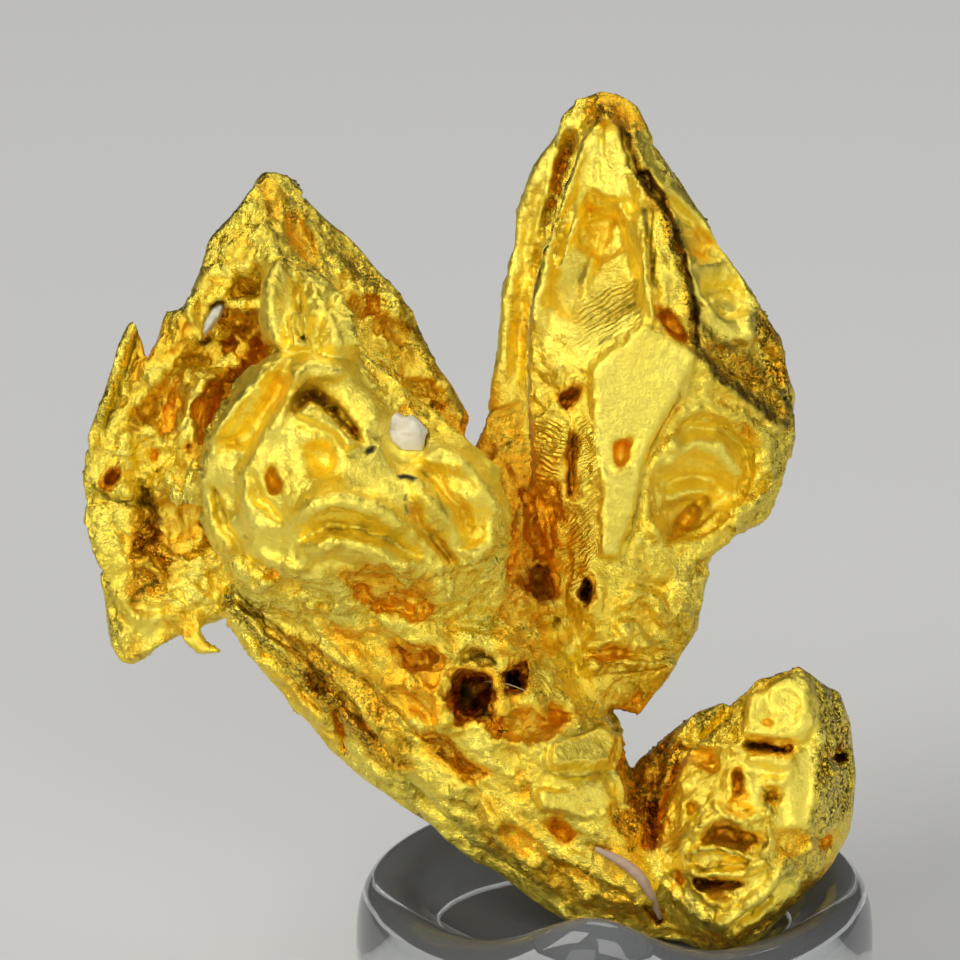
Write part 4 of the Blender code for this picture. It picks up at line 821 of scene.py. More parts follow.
ARM_FORMS = {
    "edge_fold_1": ("fold", 8, 10, [(230, 600), (270, 640), (320, 686), (372, 742)]),
    "edge_groove_1": ("groove", 6, 11, [(236, 592), (280, 632), (334, 682), (384, 744)]),
    "edge_fold_2": ("fold", 7, 9, [(244, 640), (290, 684), (330, 726)]),
    "edge_groove_2": ("groove", 6, 10, [(240, 628), (280, 666), (318, 706), (346, 748)]),
    "edge_pit": ("pit", 30, 4, [(308, 674), (320, 673), (327, 690), (314, 697)]),
    "edge_slot": ("groove", 7, 26, [(332, 703), (340, 726), (347, 752)]),
    "pocket_1": ("pit", 18, 6, [(388, 642), (420, 644), (444, 656), (430, 669), (398, 669)]),
    "pocket_2": ("pit", 16, 5, [(408, 730), (438, 728), (466, 752), (490, 772), (468, 779), (434, 752)]),
    "bright_flat": ("level", 3, 0.3, [(450, 780), (474, 776), (483, 796), (474, 812), (452, 798)]),
    "bright_facet": ("plate", 8, 4, [(450, 780), (474, 776), (483, 796), (474, 812), (452, 798)]),
    "rib_1": ("ridge", 12, 10, [(384, 682), (420, 688), (446, 706), (440, 728)]),
    "rib_2": ("ridge", 10, 9, [(402, 700), (436, 742), (470, 778)]),
    "rib_3": ("fold", 10, 10, [(420, 770), (450, 806), (484, 834), (520, 852)]),
    "furrow_1": ("groove", 8, 12, [(408, 774), (440, 814), (480, 848), (524, 874)]),
    "rib_4": ("fold", 10, 10, [(484, 800), (502, 838), (540, 866), (562, 892)]),
    "rib_5": ("ridge", 12, 9, [(372, 700), (392, 740), (400, 784)]),
    "furrow_2": ("groove", 8, 9, [(356, 704), (384, 746), (396, 790)]),
    "hole_1": ("pit", 90, 4, [(451, 684), (460, 672), (478, 670), (492, 681), (494, 692), (484, 698),
        (479, 710), (472, 719), (459, 721), (451, 711), (447, 697)]),
    "hole_2": ("pit", 60, 4, [(500, 676), (512, 664), (527, 661), (529, 678), (514, 689), (503, 699)]),
    "hole_3": ("pit", 56, 4, [(481, 708), (494, 705), (503, 720), (507, 734), (494, 736), (485, 722)]),
    "hole_arch": ("groove", 7, 26, [(460, 661), (474, 654), (494, 660)]),
    "hole_lip": ("fold", 8, 10, [(444, 668), (438, 692), (446, 720), (466, 732)]),
    "recess": ("pit", 20, 5, [(520, 488), (534, 498), (548, 476), (558, 486), (556, 520), (563, 548),
        (544, 560), (530, 548), (526, 520)]),
    "recess_fold_1": ("fold", 5, 10, [(536, 494), (538, 524), (534, 556)]),
    "recess_fold_2": ("fold", 5, 9, [(550, 486), (548, 516), (554, 548)]),
    "recess_hole": ("pit", 50, 4, [(528, 572), (538, 564), (552, 570), (549, 584), (557, 596), (540, 601),
        (530, 592)]),
    "web_bit_1": ("fold", 8, 12, [(518, 604), (536, 612), (556, 606)]),
    "web_bit_2": ("fold", 7, 11, [(514, 628), (530, 622), (548, 634)]),
    "web_bit_3": ("fold", 7, 11, [(498, 640), (516, 652), (532, 644)]),
    "web_cut": ("groove", 7, 20, [(506, 616), (530, 630), (556, 622)]),
    "foot_facet_1": ("plate", 8, 4, [(548, 742), (600, 727), (617, 736), (610, 763), (551, 767)]),
    "foot_flat_1": ("level", 3, 0.2, [(550, 743), (600, 729), (615, 737), (609, 762), (553, 766)]),
    "foot_facet_2": ("plate", 8, 4, [(533, 790), (604, 781), (621, 802), (600, 815), (539, 811)]),
    "foot_flat_2": ("level", 3, 0.2, [(536, 791), (603, 783), (618, 801), (599, 813), (541, 810)]),
    "foot_groove": ("groove", 8, 11, [(544, 772), (580, 773), (613, 773)]),
    "foot_pocket": ("pit", 15, 3, [(540, 821), (556, 818), (578, 832), (566, 841), (552, 833)]),
    "foot_rib_1": ("ridge", 9, 9, [(556, 850), (588, 868), (620, 892), (642, 908)]),
    "foot_rib_2": ("fold", 8, 8, [(580, 898), (602, 892), (626, 904)]),
    "foot_furrow": ("groove", 8, 11, [(566, 868), (596, 884), (628, 904)]),
}

# Marks of the skin. Beside its real texture, many paint light into the colour: painted shade and the
# redness of light passed between walls over the arm and in its holes, pockets, recess and web; painted dark
# reflections along the crumpled left edge; painted lines of shade in the creases; and a paler tone on the
# foot's facets, as if lit more.
ARM_SKIN = {
    "edge_dusk": ("dusk", 0.9, [(222, 586), (262, 616), (334, 688), (386, 746), (376, 756), (320, 702),
        (258, 640), (226, 612)]),
    "arm_branch": ("branch", 1.0, [(216, 590), (300, 620), (400, 640), (440, 700), (500, 760), (560, 850),
        (640, 900), (556, 920), (470, 870), (400, 800), (330, 760), (262, 680)]),
    "edge_seam_1": ("seam", 4, 0.8, [(232, 586), (262, 614), (300, 650), (340, 692), (378, 742)]),
    "edge_seam_2": ("seam", 3, 0.8, [(240, 604), (272, 636), (304, 668), (326, 694)]),
    "edge_foil": ("foil", 1.0, [(218, 588), (262, 616), (332, 686), (386, 748), (404, 798), (372, 776),
        (334, 758), (300, 712), (262, 676), (240, 642), (214, 614)]),
    "arm_shards": ("shards", 0.8, [(380, 620), (500, 620), (560, 600), (566, 700), (590, 740), (540, 770),
        (540, 840), (470, 800), (420, 760), (384, 690)]),
    "foot_shards": ("shards", 0.7, [(620, 725), (700, 700), (742, 742), (676, 760), (660, 840), (620, 850),
        (606, 780)]),
    "arm_foil": ("foil", 0.8, [(340, 650), (440, 670), (470, 740), (520, 800), (560, 870), (556, 912),
        (470, 866), (404, 790), (380, 740)]),
    "web_foil": ("foil", 0.9, [(500, 600), (562, 600), (566, 650), (530, 660), (496, 652)]),
    "facet_calm": ("calm", 0.6, [(546, 740), (602, 725), (620, 736), (612, 766), (622, 803), (600, 817),
        (536, 812), (540, 770)]),
    "arm_shade_1": ("stain", 0.8, [(318, 622), (380, 618), (440, 672), (446, 724), (404, 716), (352, 672)]),
    "arm_shade_2": ("stain", 0.7, [(262, 622), (318, 640), (390, 700), (420, 770), (384, 768), (318, 700)]),
    "arm_shade_3": ("stain", 0.5, [(470, 790), (520, 800), (548, 846), (600, 872), (588, 904), (530, 880),
        (484, 842)]),
    "arm_shade_4": ("stain", 0.6, [(590, 846), (616, 836), (640, 862), (652, 900), (628, 896), (604, 872)]),
    "arm_dusk": ("dusk", 0.6, [(240, 616), (318, 636), (392, 690), (424, 760), (392, 772), (300, 690)]),
    "hole_seam_1": ("seam", 6, 1.0, [(462, 686), (468, 704), (486, 712)]),
    "hole_seam_2": ("seam", 5, 0.9, [(506, 676), (516, 684), (521, 690)]),
    "facet_seam_1": ("seam", 2.5, 0.6, [(544, 772), (580, 774), (613, 772)]),
    "facet_seam_2": ("seam", 2.5, 0.6, [(546, 742), (578, 734), (602, 726)]),
    "edge_shade": ("stain", 0.35, [(236, 636), (262, 640), (340, 720), (350, 756), (334, 752), (262, 676)]),
    "pit_shade": ("stain", 0.95, [(306, 672), (322, 671), (329, 692), (314, 699)]),
    "slot_shade": ("stain", 0.9, [(328, 702), (336, 700), (351, 752), (342, 754)]),
    "pocket_shade_1": ("stain", 0.8, [(384, 640), (420, 641), (448, 656), (432, 672), (396, 672)]),
    "pocket_shade_2": ("stain", 0.75, [(404, 728), (440, 725), (494, 774), (468, 783), (432, 756)]),
    "hole_shade": ("stain", 1.0, [(446, 682), (458, 668), (480, 662), (500, 674), (512, 660), (530, 656),
        (532, 690), (506, 704), (508, 738), (492, 738), (478, 722), (454, 724), (443, 698)]),
    "hole_arch_seam": ("seam", 4, 0.9, [(464, 662), (474, 656), (488, 656), (495, 662)]),
    "floor_shade": ("stain", 0.85, [(504, 712), (520, 702), (562, 702), (581, 715), (560, 732), (530, 728),
        (514, 742), (503, 738)]),
    "floor_calm": ("calm", 0.3, [(500, 706), (560, 700), (580, 722), (545, 740), (506, 742)]),
    "recess_shards": ("shards", 0.7, [(512, 470), (556, 470), (566, 560), (560, 606), (520, 606)]),
    "recess_shade": ("stain", 0.7, [(504, 440), (532, 440), (538, 500), (560, 480), (564, 566), (556, 606),
        (522, 606), (516, 520)]),
    "web_shade": ("stain", 0.6, [(498, 604), (560, 604), (566, 650), (530, 664), (494, 652)]),
    "foot_shade_1": ("stain", 0.7, [(538, 819), (556, 815), (581, 832), (566, 845), (550, 836)]),
    "foot_shade_2": ("stain", 0.6, [(558, 876), (590, 884), (632, 896), (652, 930), (600, 912),
        (560, 904)]),
    "foot_shade_3": ("stain", 0.55, [(512, 764), (532, 764), (530, 804), (514, 800)]),
}

skin.work(ARM_FORMS)

# ======================================================================================================
# The small crystal, at the lower right
# A rounded crystal, deeply pitted where steps of its faces have met, with a smooth lens on its top and
# folded lips and ribs below. A tail, painted dark with shade and dark reflections, joins it to the foot
# behind.

SMALL_FORMS = {
    "lens": ("plate", 7, 5, [(748, 706), (758, 690), (776, 680), (798, 674), (812, 682), (819, 700),
        (816, 722), (806, 740), (770, 738), (746, 735)]),
    "lens_flat": ("level", 5, 0.1, [(752, 706), (762, 692), (796, 680), (812, 700), (806, 728),
        (752, 730)]),
    "lens_swirl": ("ridge", 8, 8, [(768, 700), (774, 688), (790, 684), (802, 694), (804, 712), (796, 728)]),
    "lens_edge": ("fold", 5, 12, [(756, 692), (748, 712), (744, 736)]),
    "lens_hook": ("groove", 5, 9, [(773, 713), (767, 704), (768, 694), (778, 688)]),
    "lens_pit": ("pit", 12, 2, [(760, 721), (766, 717), (777, 721), (768, 726)]),
    "slot": ("pit", 44, 2, [(742, 738), (757, 740), (776, 745), (790, 745), (791, 754), (776, 755),
        (757, 751), (742, 745)]),
    "slot_ledge": ("ridge", 9, 13, [(744, 759), (764, 757), (782, 763), (795, 758)]),
    "shelf": ("ridge", 7, 10, [(762, 778), (780, 782), (792, 774), (794, 762)]),
    "flank": ("level", 8, 0.25, [(796, 748), (812, 744), (812, 780), (806, 824), (788, 826), (784, 790)]),
    "shoulder_pit": ("pit", 14, 2, [(685, 752), (712, 749), (719, 760), (720, 771), (704, 766),
        (688, 763)]),
    "shoulder_lip": ("fold", 5, 11, [(682, 748), (698, 743), (718, 745), (740, 751)]),
    "bent_pit": ("pit", 15, 2, [(732, 770), (742, 768), (744, 776), (740, 788), (736, 794), (728, 790),
        (732, 780)]),
    "bent_lip": ("fold", 5, 9, [(729, 770), (726, 788), (726, 798)]),
    "ring": ("fold", 6, 14, [(714, 797), (722, 812), (744, 818), (764, 812), (774, 800)]),
    "ring_pit_1": ("pit", 10, 2, [(722, 801), (736, 800), (739, 807), (728, 809)]),
    "ring_pit_2": ("pit", 10, 2, [(742, 807), (751, 805), (754, 810), (745, 812)]),
    "left_pit": ("pit", 16, 3, [(686, 803), (696, 800), (698, 814), (688, 817)]),
    "left_lip": ("fold", 5, 9, [(681, 818), (682, 804), (692, 796), (702, 800), (703, 816)]),
    "mouth": ("pit", 26, 3, [(712, 821), (730, 826), (749, 826), (757, 839), (749, 850), (736, 846),
        (724, 838), (704, 843), (697, 840)]),
    "mouth_wedge": ("fold", 6, 18, [(738, 832), (748, 842), (754, 852)]),
    "mouth_roof": ("fold", 6, 12, [(694, 836), (706, 822), (722, 816), (744, 822), (760, 832)]),
    "lip_1": ("fold", 6, 14, [(688, 856), (700, 848), (716, 846), (734, 851), (750, 859), (770, 862)]),
    "lip_parting": ("groove", 4, 13, [(688, 861), (702, 866), (728, 863), (750, 860)]),
    "lip_2": ("fold", 6, 13, [(688, 868), (704, 873), (722, 874), (742, 870), (762, 862)]),
    "low_slot": ("pit", 44, 2, [(689, 870), (700, 877), (720, 881), (738, 878), (743, 882), (730, 884),
        (712, 885), (696, 889), (690, 882)]),
    "panel": ("level", 4, -0.2, [(700, 889), (736, 887), (734, 900), (720, 909), (706, 902)]),
    "corner_pit": ("pit", 20, 3, [(673, 869), (682, 867), (685, 884), (675, 885)]),
    "cheek_bowl": ("pit", 14, 6, [(774, 830), (794, 826), (812, 836), (808, 852), (788, 858), (774, 850)]),
    "cheek_flat": ("level", 3, 0.3, [(776, 832), (796, 829), (800, 846), (780, 852)]),
    "hook_seat": ("pit", 8, 2, [(764, 784), (778, 785), (780, 800), (772, 806), (764, 800)]),
    "cheek_flake": ("plate", 10, 2, [(801, 850), (812, 838), (816, 851)]),
    "edge_pit": ("pit", 16, 3, [(815, 838), (834, 835), (833, 849), (817, 850)]),
    "side_notch": ("pit", 26, 3, [(824, 752), (832, 748), (848, 752), (850, 758), (838, 761), (828, 762)]),
    "notch_lip": ("plate", 20, 2, [(823, 762), (836, 769), (849, 760), (847, 776), (832, 778)]),
    "rib_1": ("fold", 8, 17, [(782, 862), (764, 888), (740, 910), (714, 924)]),
    "rib_2": ("fold", 7, 15, [(796, 880), (772, 906), (742, 926), (720, 936)]),
    "rib_parting": ("groove", 5, 13, [(788, 872), (768, 898), (742, 918), (722, 930)]),
    "side_fold": ("fold", 6, 12, [(764, 820), (768, 840), (762, 858)]),
    "chin": ("fold", 9, 12, [(672, 888), (690, 906), (706, 918), (722, 920)]),
    "temple_fold": ("fold", 8, 10, [(676, 850), (690, 832), (704, 816), (716, 800)]),
    "foot_slot": ("pit", 40, 3, [(643, 902), (652, 908), (664, 920), (660, 926), (649, 916)]),
    "tail_ridge_1": ("ridge", 8, 12, [(676, 750), (664, 786), (658, 830)]),
    "tail_ridge_2": ("ridge", 7, 11, [(652, 764), (644, 800), (634, 838)]),
}

# Marks of the skin. Beside its real texture, many paint light into the colour: painted shade and the
# redness of light passed between walls in the slots, pits, mouth and notch and over the tail and base;
# painted dark reflections on the top, side, tail, crest, base and cheek; painted lines of shade in the
# creases and slots; and a paler tone on the calm lens, flank and ribs, as if lit more.
SMALL_SKIN = {
    "lens_calm": ("calm", 0.9, [(747, 706), (758, 690), (776, 680), (798, 673), (813, 682), (820, 700),
        (816, 724), (806, 740), (770, 738), (745, 735)]),
    "flank_calm": ("calm", 0.85, [(742, 756), (790, 756), (806, 742), (814, 746), (812, 800), (800, 832),
        (780, 826), (782, 786), (750, 780)]),
    "face_calm": ("calm", 0.3, [(680, 750), (740, 745), (760, 786), (770, 820), (772, 862), (730, 920),
        (690, 912), (664, 880), (668, 800)]),
    "face_shards": ("shards", 0.35, [(676, 752), (740, 746), (780, 800), (790, 850), (760, 900), (700, 916),
        (664, 880), (662, 800)]),
    "rib_calm": ("calm", 0.7, [(778, 860), (800, 876), (746, 930), (708, 926)]),
    "lens_shade": ("stain", 0.35, [(759, 721), (767, 716), (778, 721), (768, 727)]),
    "slot_shade": ("stain", 0.9, [(741, 737), (757, 739), (792, 744), (793, 756), (756, 754)]),
    "slot_dark": ("seam", 3, 0.8, [(746, 742), (766, 747), (786, 751)]),
    "shoulder_shade": ("stain", 0.6, [(684, 751), (712, 748), (722, 762), (721, 772), (690, 765)]),
    "bent_shade": ("stain", 0.8, [(732, 767), (744, 766), (742, 788), (749, 794), (746, 799), (729, 797)]),
    "ring_shade": ("stain", 0.35, [(720, 800), (738, 798), (755, 805), (746, 813), (726, 810)]),
    "side_shade": ("stain", 0.6, [(763, 783), (779, 784), (782, 800), (772, 808), (763, 801)]),
    "side_seam": ("seam", 2, 0.8, [(762, 784), (765, 794), (763, 804), (768, 808)]),
    "crease_seam_1": ("seam", 1.8, 0.6, [(686, 856), (700, 848), (716, 846), (734, 851), (752, 860)]),
    "crease_seam_2": ("seam", 2, 0.7, [(688, 862), (702, 867), (726, 864), (748, 860)]),
    "crease_seam_3": ("seam", 2, 0.6, [(688, 892), (696, 908), (706, 922)]),
    "crease_seam_4": ("seam", 1.8, 0.5, [(738, 886), (736, 900), (722, 910)]),
    "crease_seam_5": ("seam", 2, 0.6, [(788, 872), (768, 896), (744, 916), (722, 930)]),
    "crease_seam_6": ("seam", 2, 0.6, [(760, 820), (764, 838), (758, 856), (774, 866)]),
    "crease_seam_7": ("seam", 1.8, 0.5, [(744, 706), (750, 692), (760, 682), (778, 674)]),
    "crease_seam_8": ("seam", 1.8, 0.5, [(804, 830), (818, 838), (806, 856), (786, 862)]),
    "crease_seam_9": ("seam", 1.8, 0.5, [(668, 852), (682, 838), (696, 826), (702, 806)]),
    "left_shade": ("stain", 0.4, [(684, 802), (697, 798), (700, 816), (687, 819)]),
    "mouth_shade": ("stain", 0.7, [(710, 820), (750, 824), (759, 840), (750, 852), (724, 841), (697, 842)]),
    "lip_shade": ("stain", 0.7, [(687, 860), (702, 864), (750, 858), (752, 862), (726, 866), (700, 868)]),
    "low_shade": ("stain", 1.0, [(688, 869), (700, 876), (740, 876), (745, 883), (712, 888), (691, 890)]),
    "low_dark": ("seam", 3, 1.0, [(693, 880), (706, 881), (724, 882), (738, 881)]),
    "panel_shade": ("stain", 0.4, [(698, 888), (738, 886), (734, 902), (720, 910), (704, 903)]),
    "corner_shade": ("stain", 0.8, [(671, 867), (684, 865), (687, 886), (673, 887)]),
    "cheek_shade": ("stain", 0.35, [(772, 828), (796, 824), (814, 836), (800, 850), (776, 856)]),
    "edge_shade": ("stain", 0.55, [(812, 836), (837, 833), (836, 851), (814, 852)]),
    "notch_shade": ("stain", 1.0, [(825, 748), (848, 746), (851, 758), (838, 763), (825, 760)]),
    "notch_dark": ("seam", 4, 1.0, [(829, 754), (838, 755), (847, 753)]),
    "foot_shade": ("stain", 1.0, [(642, 900), (655, 906), (667, 920), (660, 929), (646, 918)]),
    "foot_dark": ("seam", 4, 1.0, [(646, 906), (652, 914), (661, 923)]),
    "tail_shade": ("stain", 1.0, [(616, 824), (638, 768), (682, 738), (692, 752), (674, 800), (666, 840),
        (622, 852)]),
    "base_shade": ("stain", 0.7, [(672, 930), (740, 930), (800, 890), (850, 850), (846, 866), (780, 920),
        (716, 956)]),
    "top_shade": ("stain", 0.6, [(757, 674), (798, 664), (812, 670), (776, 680), (756, 694)]),
    "top_dusk": ("dusk", 0.8, [(757, 672), (798, 663), (818, 674), (800, 676), (772, 682), (756, 694)]),
    "side_dusk": ("dusk", 1.0, [(820, 684), (846, 700), (856, 748), (862, 800), (846, 822), (820, 834),
        (804, 822), (816, 800), (810, 760), (820, 720)]),
    "tail_dusk": ("dusk", 0.9, [(612, 820), (630, 776), (664, 742), (690, 748), (672, 796), (656, 840),
        (626, 852)]),
    "crest_dusk": ("dusk", 0.9, [(690, 708), (716, 704), (744, 698), (744, 720), (706, 742)]),
    "base_dusk": ("dusk", 0.6, [(672, 936), (740, 936), (800, 896), (850, 850), (846, 868), (780, 922),
        (716, 958)]),
    "cheek_dusk": ("dusk", 0.6, [(780, 860), (820, 852), (842, 848), (800, 884), (776, 880)]),
    "side_foil": ("foil", 1.0, [(820, 684), (846, 704), (856, 748), (860, 800), (846, 826), (802, 832),
        (814, 786), (810, 744), (824, 712)]),
    "crest_foil": ("foil", 0.9, [(690, 710), (742, 700), (742, 742), (702, 746)]),
    "cheek_lines": ("ribs", 5, 0.8, 42, [(664, 850), (676, 826), (700, 816), (698, 838), (672, 864)]),
}

skin.work(SMALL_FORMS)

# ======================================================================================================
# The gold's skin
# Thin, crumpled and finely creased where the gold grew freely; matt and even on the broad flats. Small
# pores are scattered over the rough parts. Light is painted into the colour: hollows and crease troughs
# are painted redder and darker, for light passed between walls and for shade; some rims bear painted
# dark reflections; and the calm flats are painted paler, as if lit more.

skin = Skin(skinned(skin.finished(), FINE_SKIN, 1), FINE_REACH)
for strokes in (HOPPER_SKIN, FRONT_SKIN, TALL_SKIN, ARM_SKIN, SMALL_SKIN):
    skin.work(strokes)

# Heights of the relief, and the sizes of its flats and creases, in millimetres.
BROAD_CREASE, SMALL_CREASE = (0.020, 0.36), (0.010, 0.15)
FREE_FLAT = (0.022, 0.24)
LARGE_SHARD, SMALL_SHARD = (0.075, 0.50), (0.040, 0.27)
FOIL_FLAT, FOIL_CREASE = (0.040, 0.26), (0.012, 0.12)
BRANCH_CREASE, BRANCH_FLAT, BRANCH_LINE = (0.045, 0.34), (0.040, 0.40), (0.012, 0.13)
LEAST_CREASE = 0.002
THIN_GOLD = 0.3  # where less gold than this lies behind a point, the relief dies away

at = skin.points
free = 1 - skin.marks["calm"]
foil = skin.marks["foil"] * free
shard = skin.marks["shards"] * free
branch = skin.marks["branch"]
patchy = 0.35 + 0.65 * soft(0.5 + grain(at * 1.6, 71))
drawn_out = at * np.array((1.0, 1.0, 0.6))
along_arm = np.array((1.0, 0.0, -1.0)) / math.sqrt(2)
drawn_along = at - 0.62 * (at @ along_arm)[:, None] * along_arm


def layer(kind, points, sizes, seed):
    height, size = sizes
    return height * kind(points, size, seed)


relief = layer(creases, drawn_out, BROAD_CREASE, 21) * (0.10 + 0.90 * free * patchy)
relief += (LEAST_CREASE / SMALL_CREASE[0] + free) * layer(creases, drawn_out, SMALL_CREASE, 23)
relief += free * layer(facets, at, FREE_FLAT, 49)
relief += shard * (layer(facets, at, LARGE_SHARD, 41) + layer(facets, at, SMALL_SHARD, 43))
foiled = layer(facets, drawn_out, FOIL_FLAT, 45) + layer(creases, drawn_out, FOIL_CREASE, 31)
relief += foil * patchy * foiled
relief *= 1 - 0.75 * branch
branched = layer(creases, drawn_along, BRANCH_CREASE, 61) + layer(facets, drawn_along, BRANCH_FLAT, 63)
relief += branch * free * (branched + layer(creases, drawn_along, BRANCH_LINE, 65))
relief *= np.where(skin.front > 0, soft(skin.behind / THIN_GOLD), 1)
skin.points += skin.facing * relief[:, None]


def openness(mesh, rays=16, reach=2.0, clearance=0.06, outward_lean=0.35):
    """How open each point of a coarse skin is, from 0 deep in a hollow to 1 in the open."""
    points = flat_array(mesh.vertices, "co", len(mesh.vertices))
    facing = flat_array(mesh.vertex_normals, "vector", len(mesh.vertices))
    tree = BVHTree.FromPolygons(points.tolist(), [tuple(p.vertices) for p in mesh.polygons])
    ways = np.random.default_rng(5).normal(size=(rays, 3))
    ways /= np.linalg.norm(ways, axis=1)[:, None]
    room = np.zeros(len(points))
    for index, (point, face) in enumerate(zip(points, facing)):
        start = Vector(point + face * clearance)
        for way in ways:
            outward = (way if way @ face > 0 else -way) + face * outward_lean
            room[index] += tree.ray_cast(start, Vector(outward), reach)[0] is None
    return points, room / rays


SOUNDING_SKIN = 0.11
PORES = 300
PORE_RADIUS = (0.025, 0.07)
PORE_DROP = (0.8, 1.7)  # of its own radius
LEAST_WALL = 0.35  # of gold behind a pore
UNDER_SKIN = 0.15  # below the skin's own relief

coarse = skinned(skin.finished(), SOUNDING_SKIN, 2)
coarse_points, coarse_room = openness(coarse)
inner = BVHTree.FromPolygons(coarse_points.tolist(), [tuple(p.vertices) for p in coarse.polygons])
bpy.data.meshes.remove(coarse)


def place_pores(count, seed):
    """Small pores, scattered where the skin isn't calm and the gold is thick enough to hold them."""
    scatter = np.random.default_rng(seed)
    tree = KDTree(len(skin.points))
    for index, point in enumerate(skin.points):
        tree.insert(point, index)
    tree.balance()
    for index in scatter.choice(len(skin.points), count, replace=False):
        radius = scatter.uniform(*PORE_RADIUS)
        drop = radius * scatter.uniform(*PORE_DROP)
        inwards = Vector(-skin.facing[index])
        thickness = inner.ray_cast(Vector(skin.points[index]) + inwards * UNDER_SKIN, inwards)[3]
        if free[index] < 0.5 or thickness is None or thickness < LEAST_WALL:
            continue
        for _, near, distance in tree.find_range(skin.points[index], radius):
            share = (1 - distance / radius) ** 1.2
            skin.points[near] -= skin.facing[near] * drop * share
            skin.hollow[near] += drop * share


place_pores(PORES, 17)
lookup = KDTree(len(coarse_points))
for index, point in enumerate(coarse_points):
    lookup.insert(point, index)
lookup.balance()
room = np.empty(len(skin.points))
for index, point in enumerate(skin.points):
    found = lookup.find_n(point, 3)
    weights = [1 / (distance + 0.02) for _, _, distance in found]
    room[index] = sum(w * coarse_room[i] for w, (_, i, _) in zip(weights, found)) / sum(weights)

OPEN_ENOUGH, FULLY_HOLLOW = 0.41, 1.03  # where the painted shade and redness of the hollows begin, and where they are strongest
mottle = 0.62 + 0.45 * grain(skin.points * 6.0, 51)
# Painted shade and redness of light passed between walls, strongest where the skin is least open.
deep = soft((1 - room + np.clip(skin.hollow, 0, 0.5) * 0.25 - OPEN_ENOUGH) / (FULLY_HOLLOW - OPEN_ENOUGH))
crumple = np.clip(0.5 + relief / 0.12, 0, 1)
streaked = grain(skin.points * np.array((9.0, 9.0, 5.0)), 53)
surface = {
    # Painted shade and redness: from the openness of the skin and from the painted hollow marks.
    "hollow": np.clip(np.maximum(deep, skin.marks["stain"] * mottle), 0, 1),
    "calm": skin.marks["calm"],
    "crumple": crumple,
    "grit": skin.marks["grit"],
    # Painted dark reflections, strongest in the troughs of the crinkles.
    "dusk": skin.marks["dusk"] * soft(0.75 + (0.5 - crumple) + 0.7 * streaked),
    # Painted lines of shade in the creases.
    "seam": skin.seams * soft(0.8 + 0.6 * streaked),
    "rib_share": skin.rib_share,
    "rib_count": skin.rib_count,
}
for name, values in surface.items():
    kept = skin.mesh.attributes.new(name, "FLOAT", "POINT")
    kept.data.foreach_set("value", values.astype(np.float32))
for polygon in skin.mesh.polygons:
    polygon.use_smooth = True


class Finish:
    """A material, with the patterns and sums that feed its shader. Patterns lie on Object coordinates."""

    def __init__(self, name, **values):
        self.material = bpy.data.materials.new(name)
        self.material.use_nodes = True
        self.nodes, self.links = self.material.node_tree.nodes, self.material.node_tree.links
        self.shader = self.nodes["Principled BSDF"]
        self.place = self.nodes.new("ShaderNodeTexCoord").outputs["Object"]
        for socket, value in values.items():
            self.shader.inputs[socket.replace("_", " ")].default_value = value

    def joined(self, kind, *inputs, **settings):
        """A new node with its settings, fed by values or by other nodes' outputs."""
        node = self.nodes.new(kind)
        for setting, value in settings.items():
            setattr(node, setting, value)
        for socket, value in inputs:
            if isinstance(value, bpy.types.NodeSocket):
                self.links.new(value, node.inputs[socket])
            else:
                node.inputs[socket].default_value = value
        return node

    def worked(self, operation, *values):
        return self.joined("ShaderNodeMath", *enumerate(values), operation=operation).outputs[0]

    def attribute(self, name):
        return self.joined("ShaderNodeAttribute", attribute_name=name).outputs["Fac"]

    def noise(self, scale, detail=2.0, roughness=0.5):
        inputs = ("Vector", self.place), ("Scale", scale), ("Detail", detail), ("Roughness", roughness)
        return self.joined("ShaderNodeTexNoise", *inputs).outputs["Fac"]

    def ramp(self, amount, tones):
        """Colours that run into each other, each a place on the ramp and a colour."""
        ramp = self.joined("ShaderNodeValToRGB", ("Fac", amount))
        first, *between, last = tones
        for element, (share, colour) in zip(ramp.color_ramp.elements, (first, last)):
            element.position = share
            element.color = (*colour, 1)
        for share, colour in between:
            ramp.color_ramp.elements.new(share).color = (*colour, 1)
        return ramp.outputs["Color"]

    def mixed(self, share, colour, over):
        inputs = ("Factor", share), ("A", colour), ("B", (*over, 1))
        return self.joined("ShaderNodeMix", *inputs, data_type="RGBA").outputs["Result"]

    def feed(self, socket, value):
        self.links.new(value, self.shader.inputs[socket])

    def bump(self, height, strength, distance):
        inputs = ("Height", height), ("Strength", strength), ("Distance", distance)
        self.feed("Normal", self.joined("ShaderNodeBump", *inputs).outputs["Normal"])


# Gold from its palest yellow to its reddest. The pale end is painted on calm flats as if lit more; the red
# end is painted shade and light passed between walls, in hollows and crease troughs.
GOLD_TONES = [(0.0, (1.0, 0.83, 0.13)), (0.2, (1.0, 0.77, 0.085)), (0.56, (1.0, 0.58, 0.030)),
              (1.0, (1.0, 0.47, 0.018))]
# Near-black gold for painted dark reflections and painted lines of shade in creases.
PAINTED_DARK_GOLD = (0.085, 0.055, 0.010)
BLACK_GRIT = (0.03, 0.022, 0.012)
SHINIEST, DULLEST = 0.14, 0.38
FINE_GRAIN, FINE_WRINKLE, RIB_HEIGHT = 0.024 * MM, 0.006 * MM, 0.008 * MM


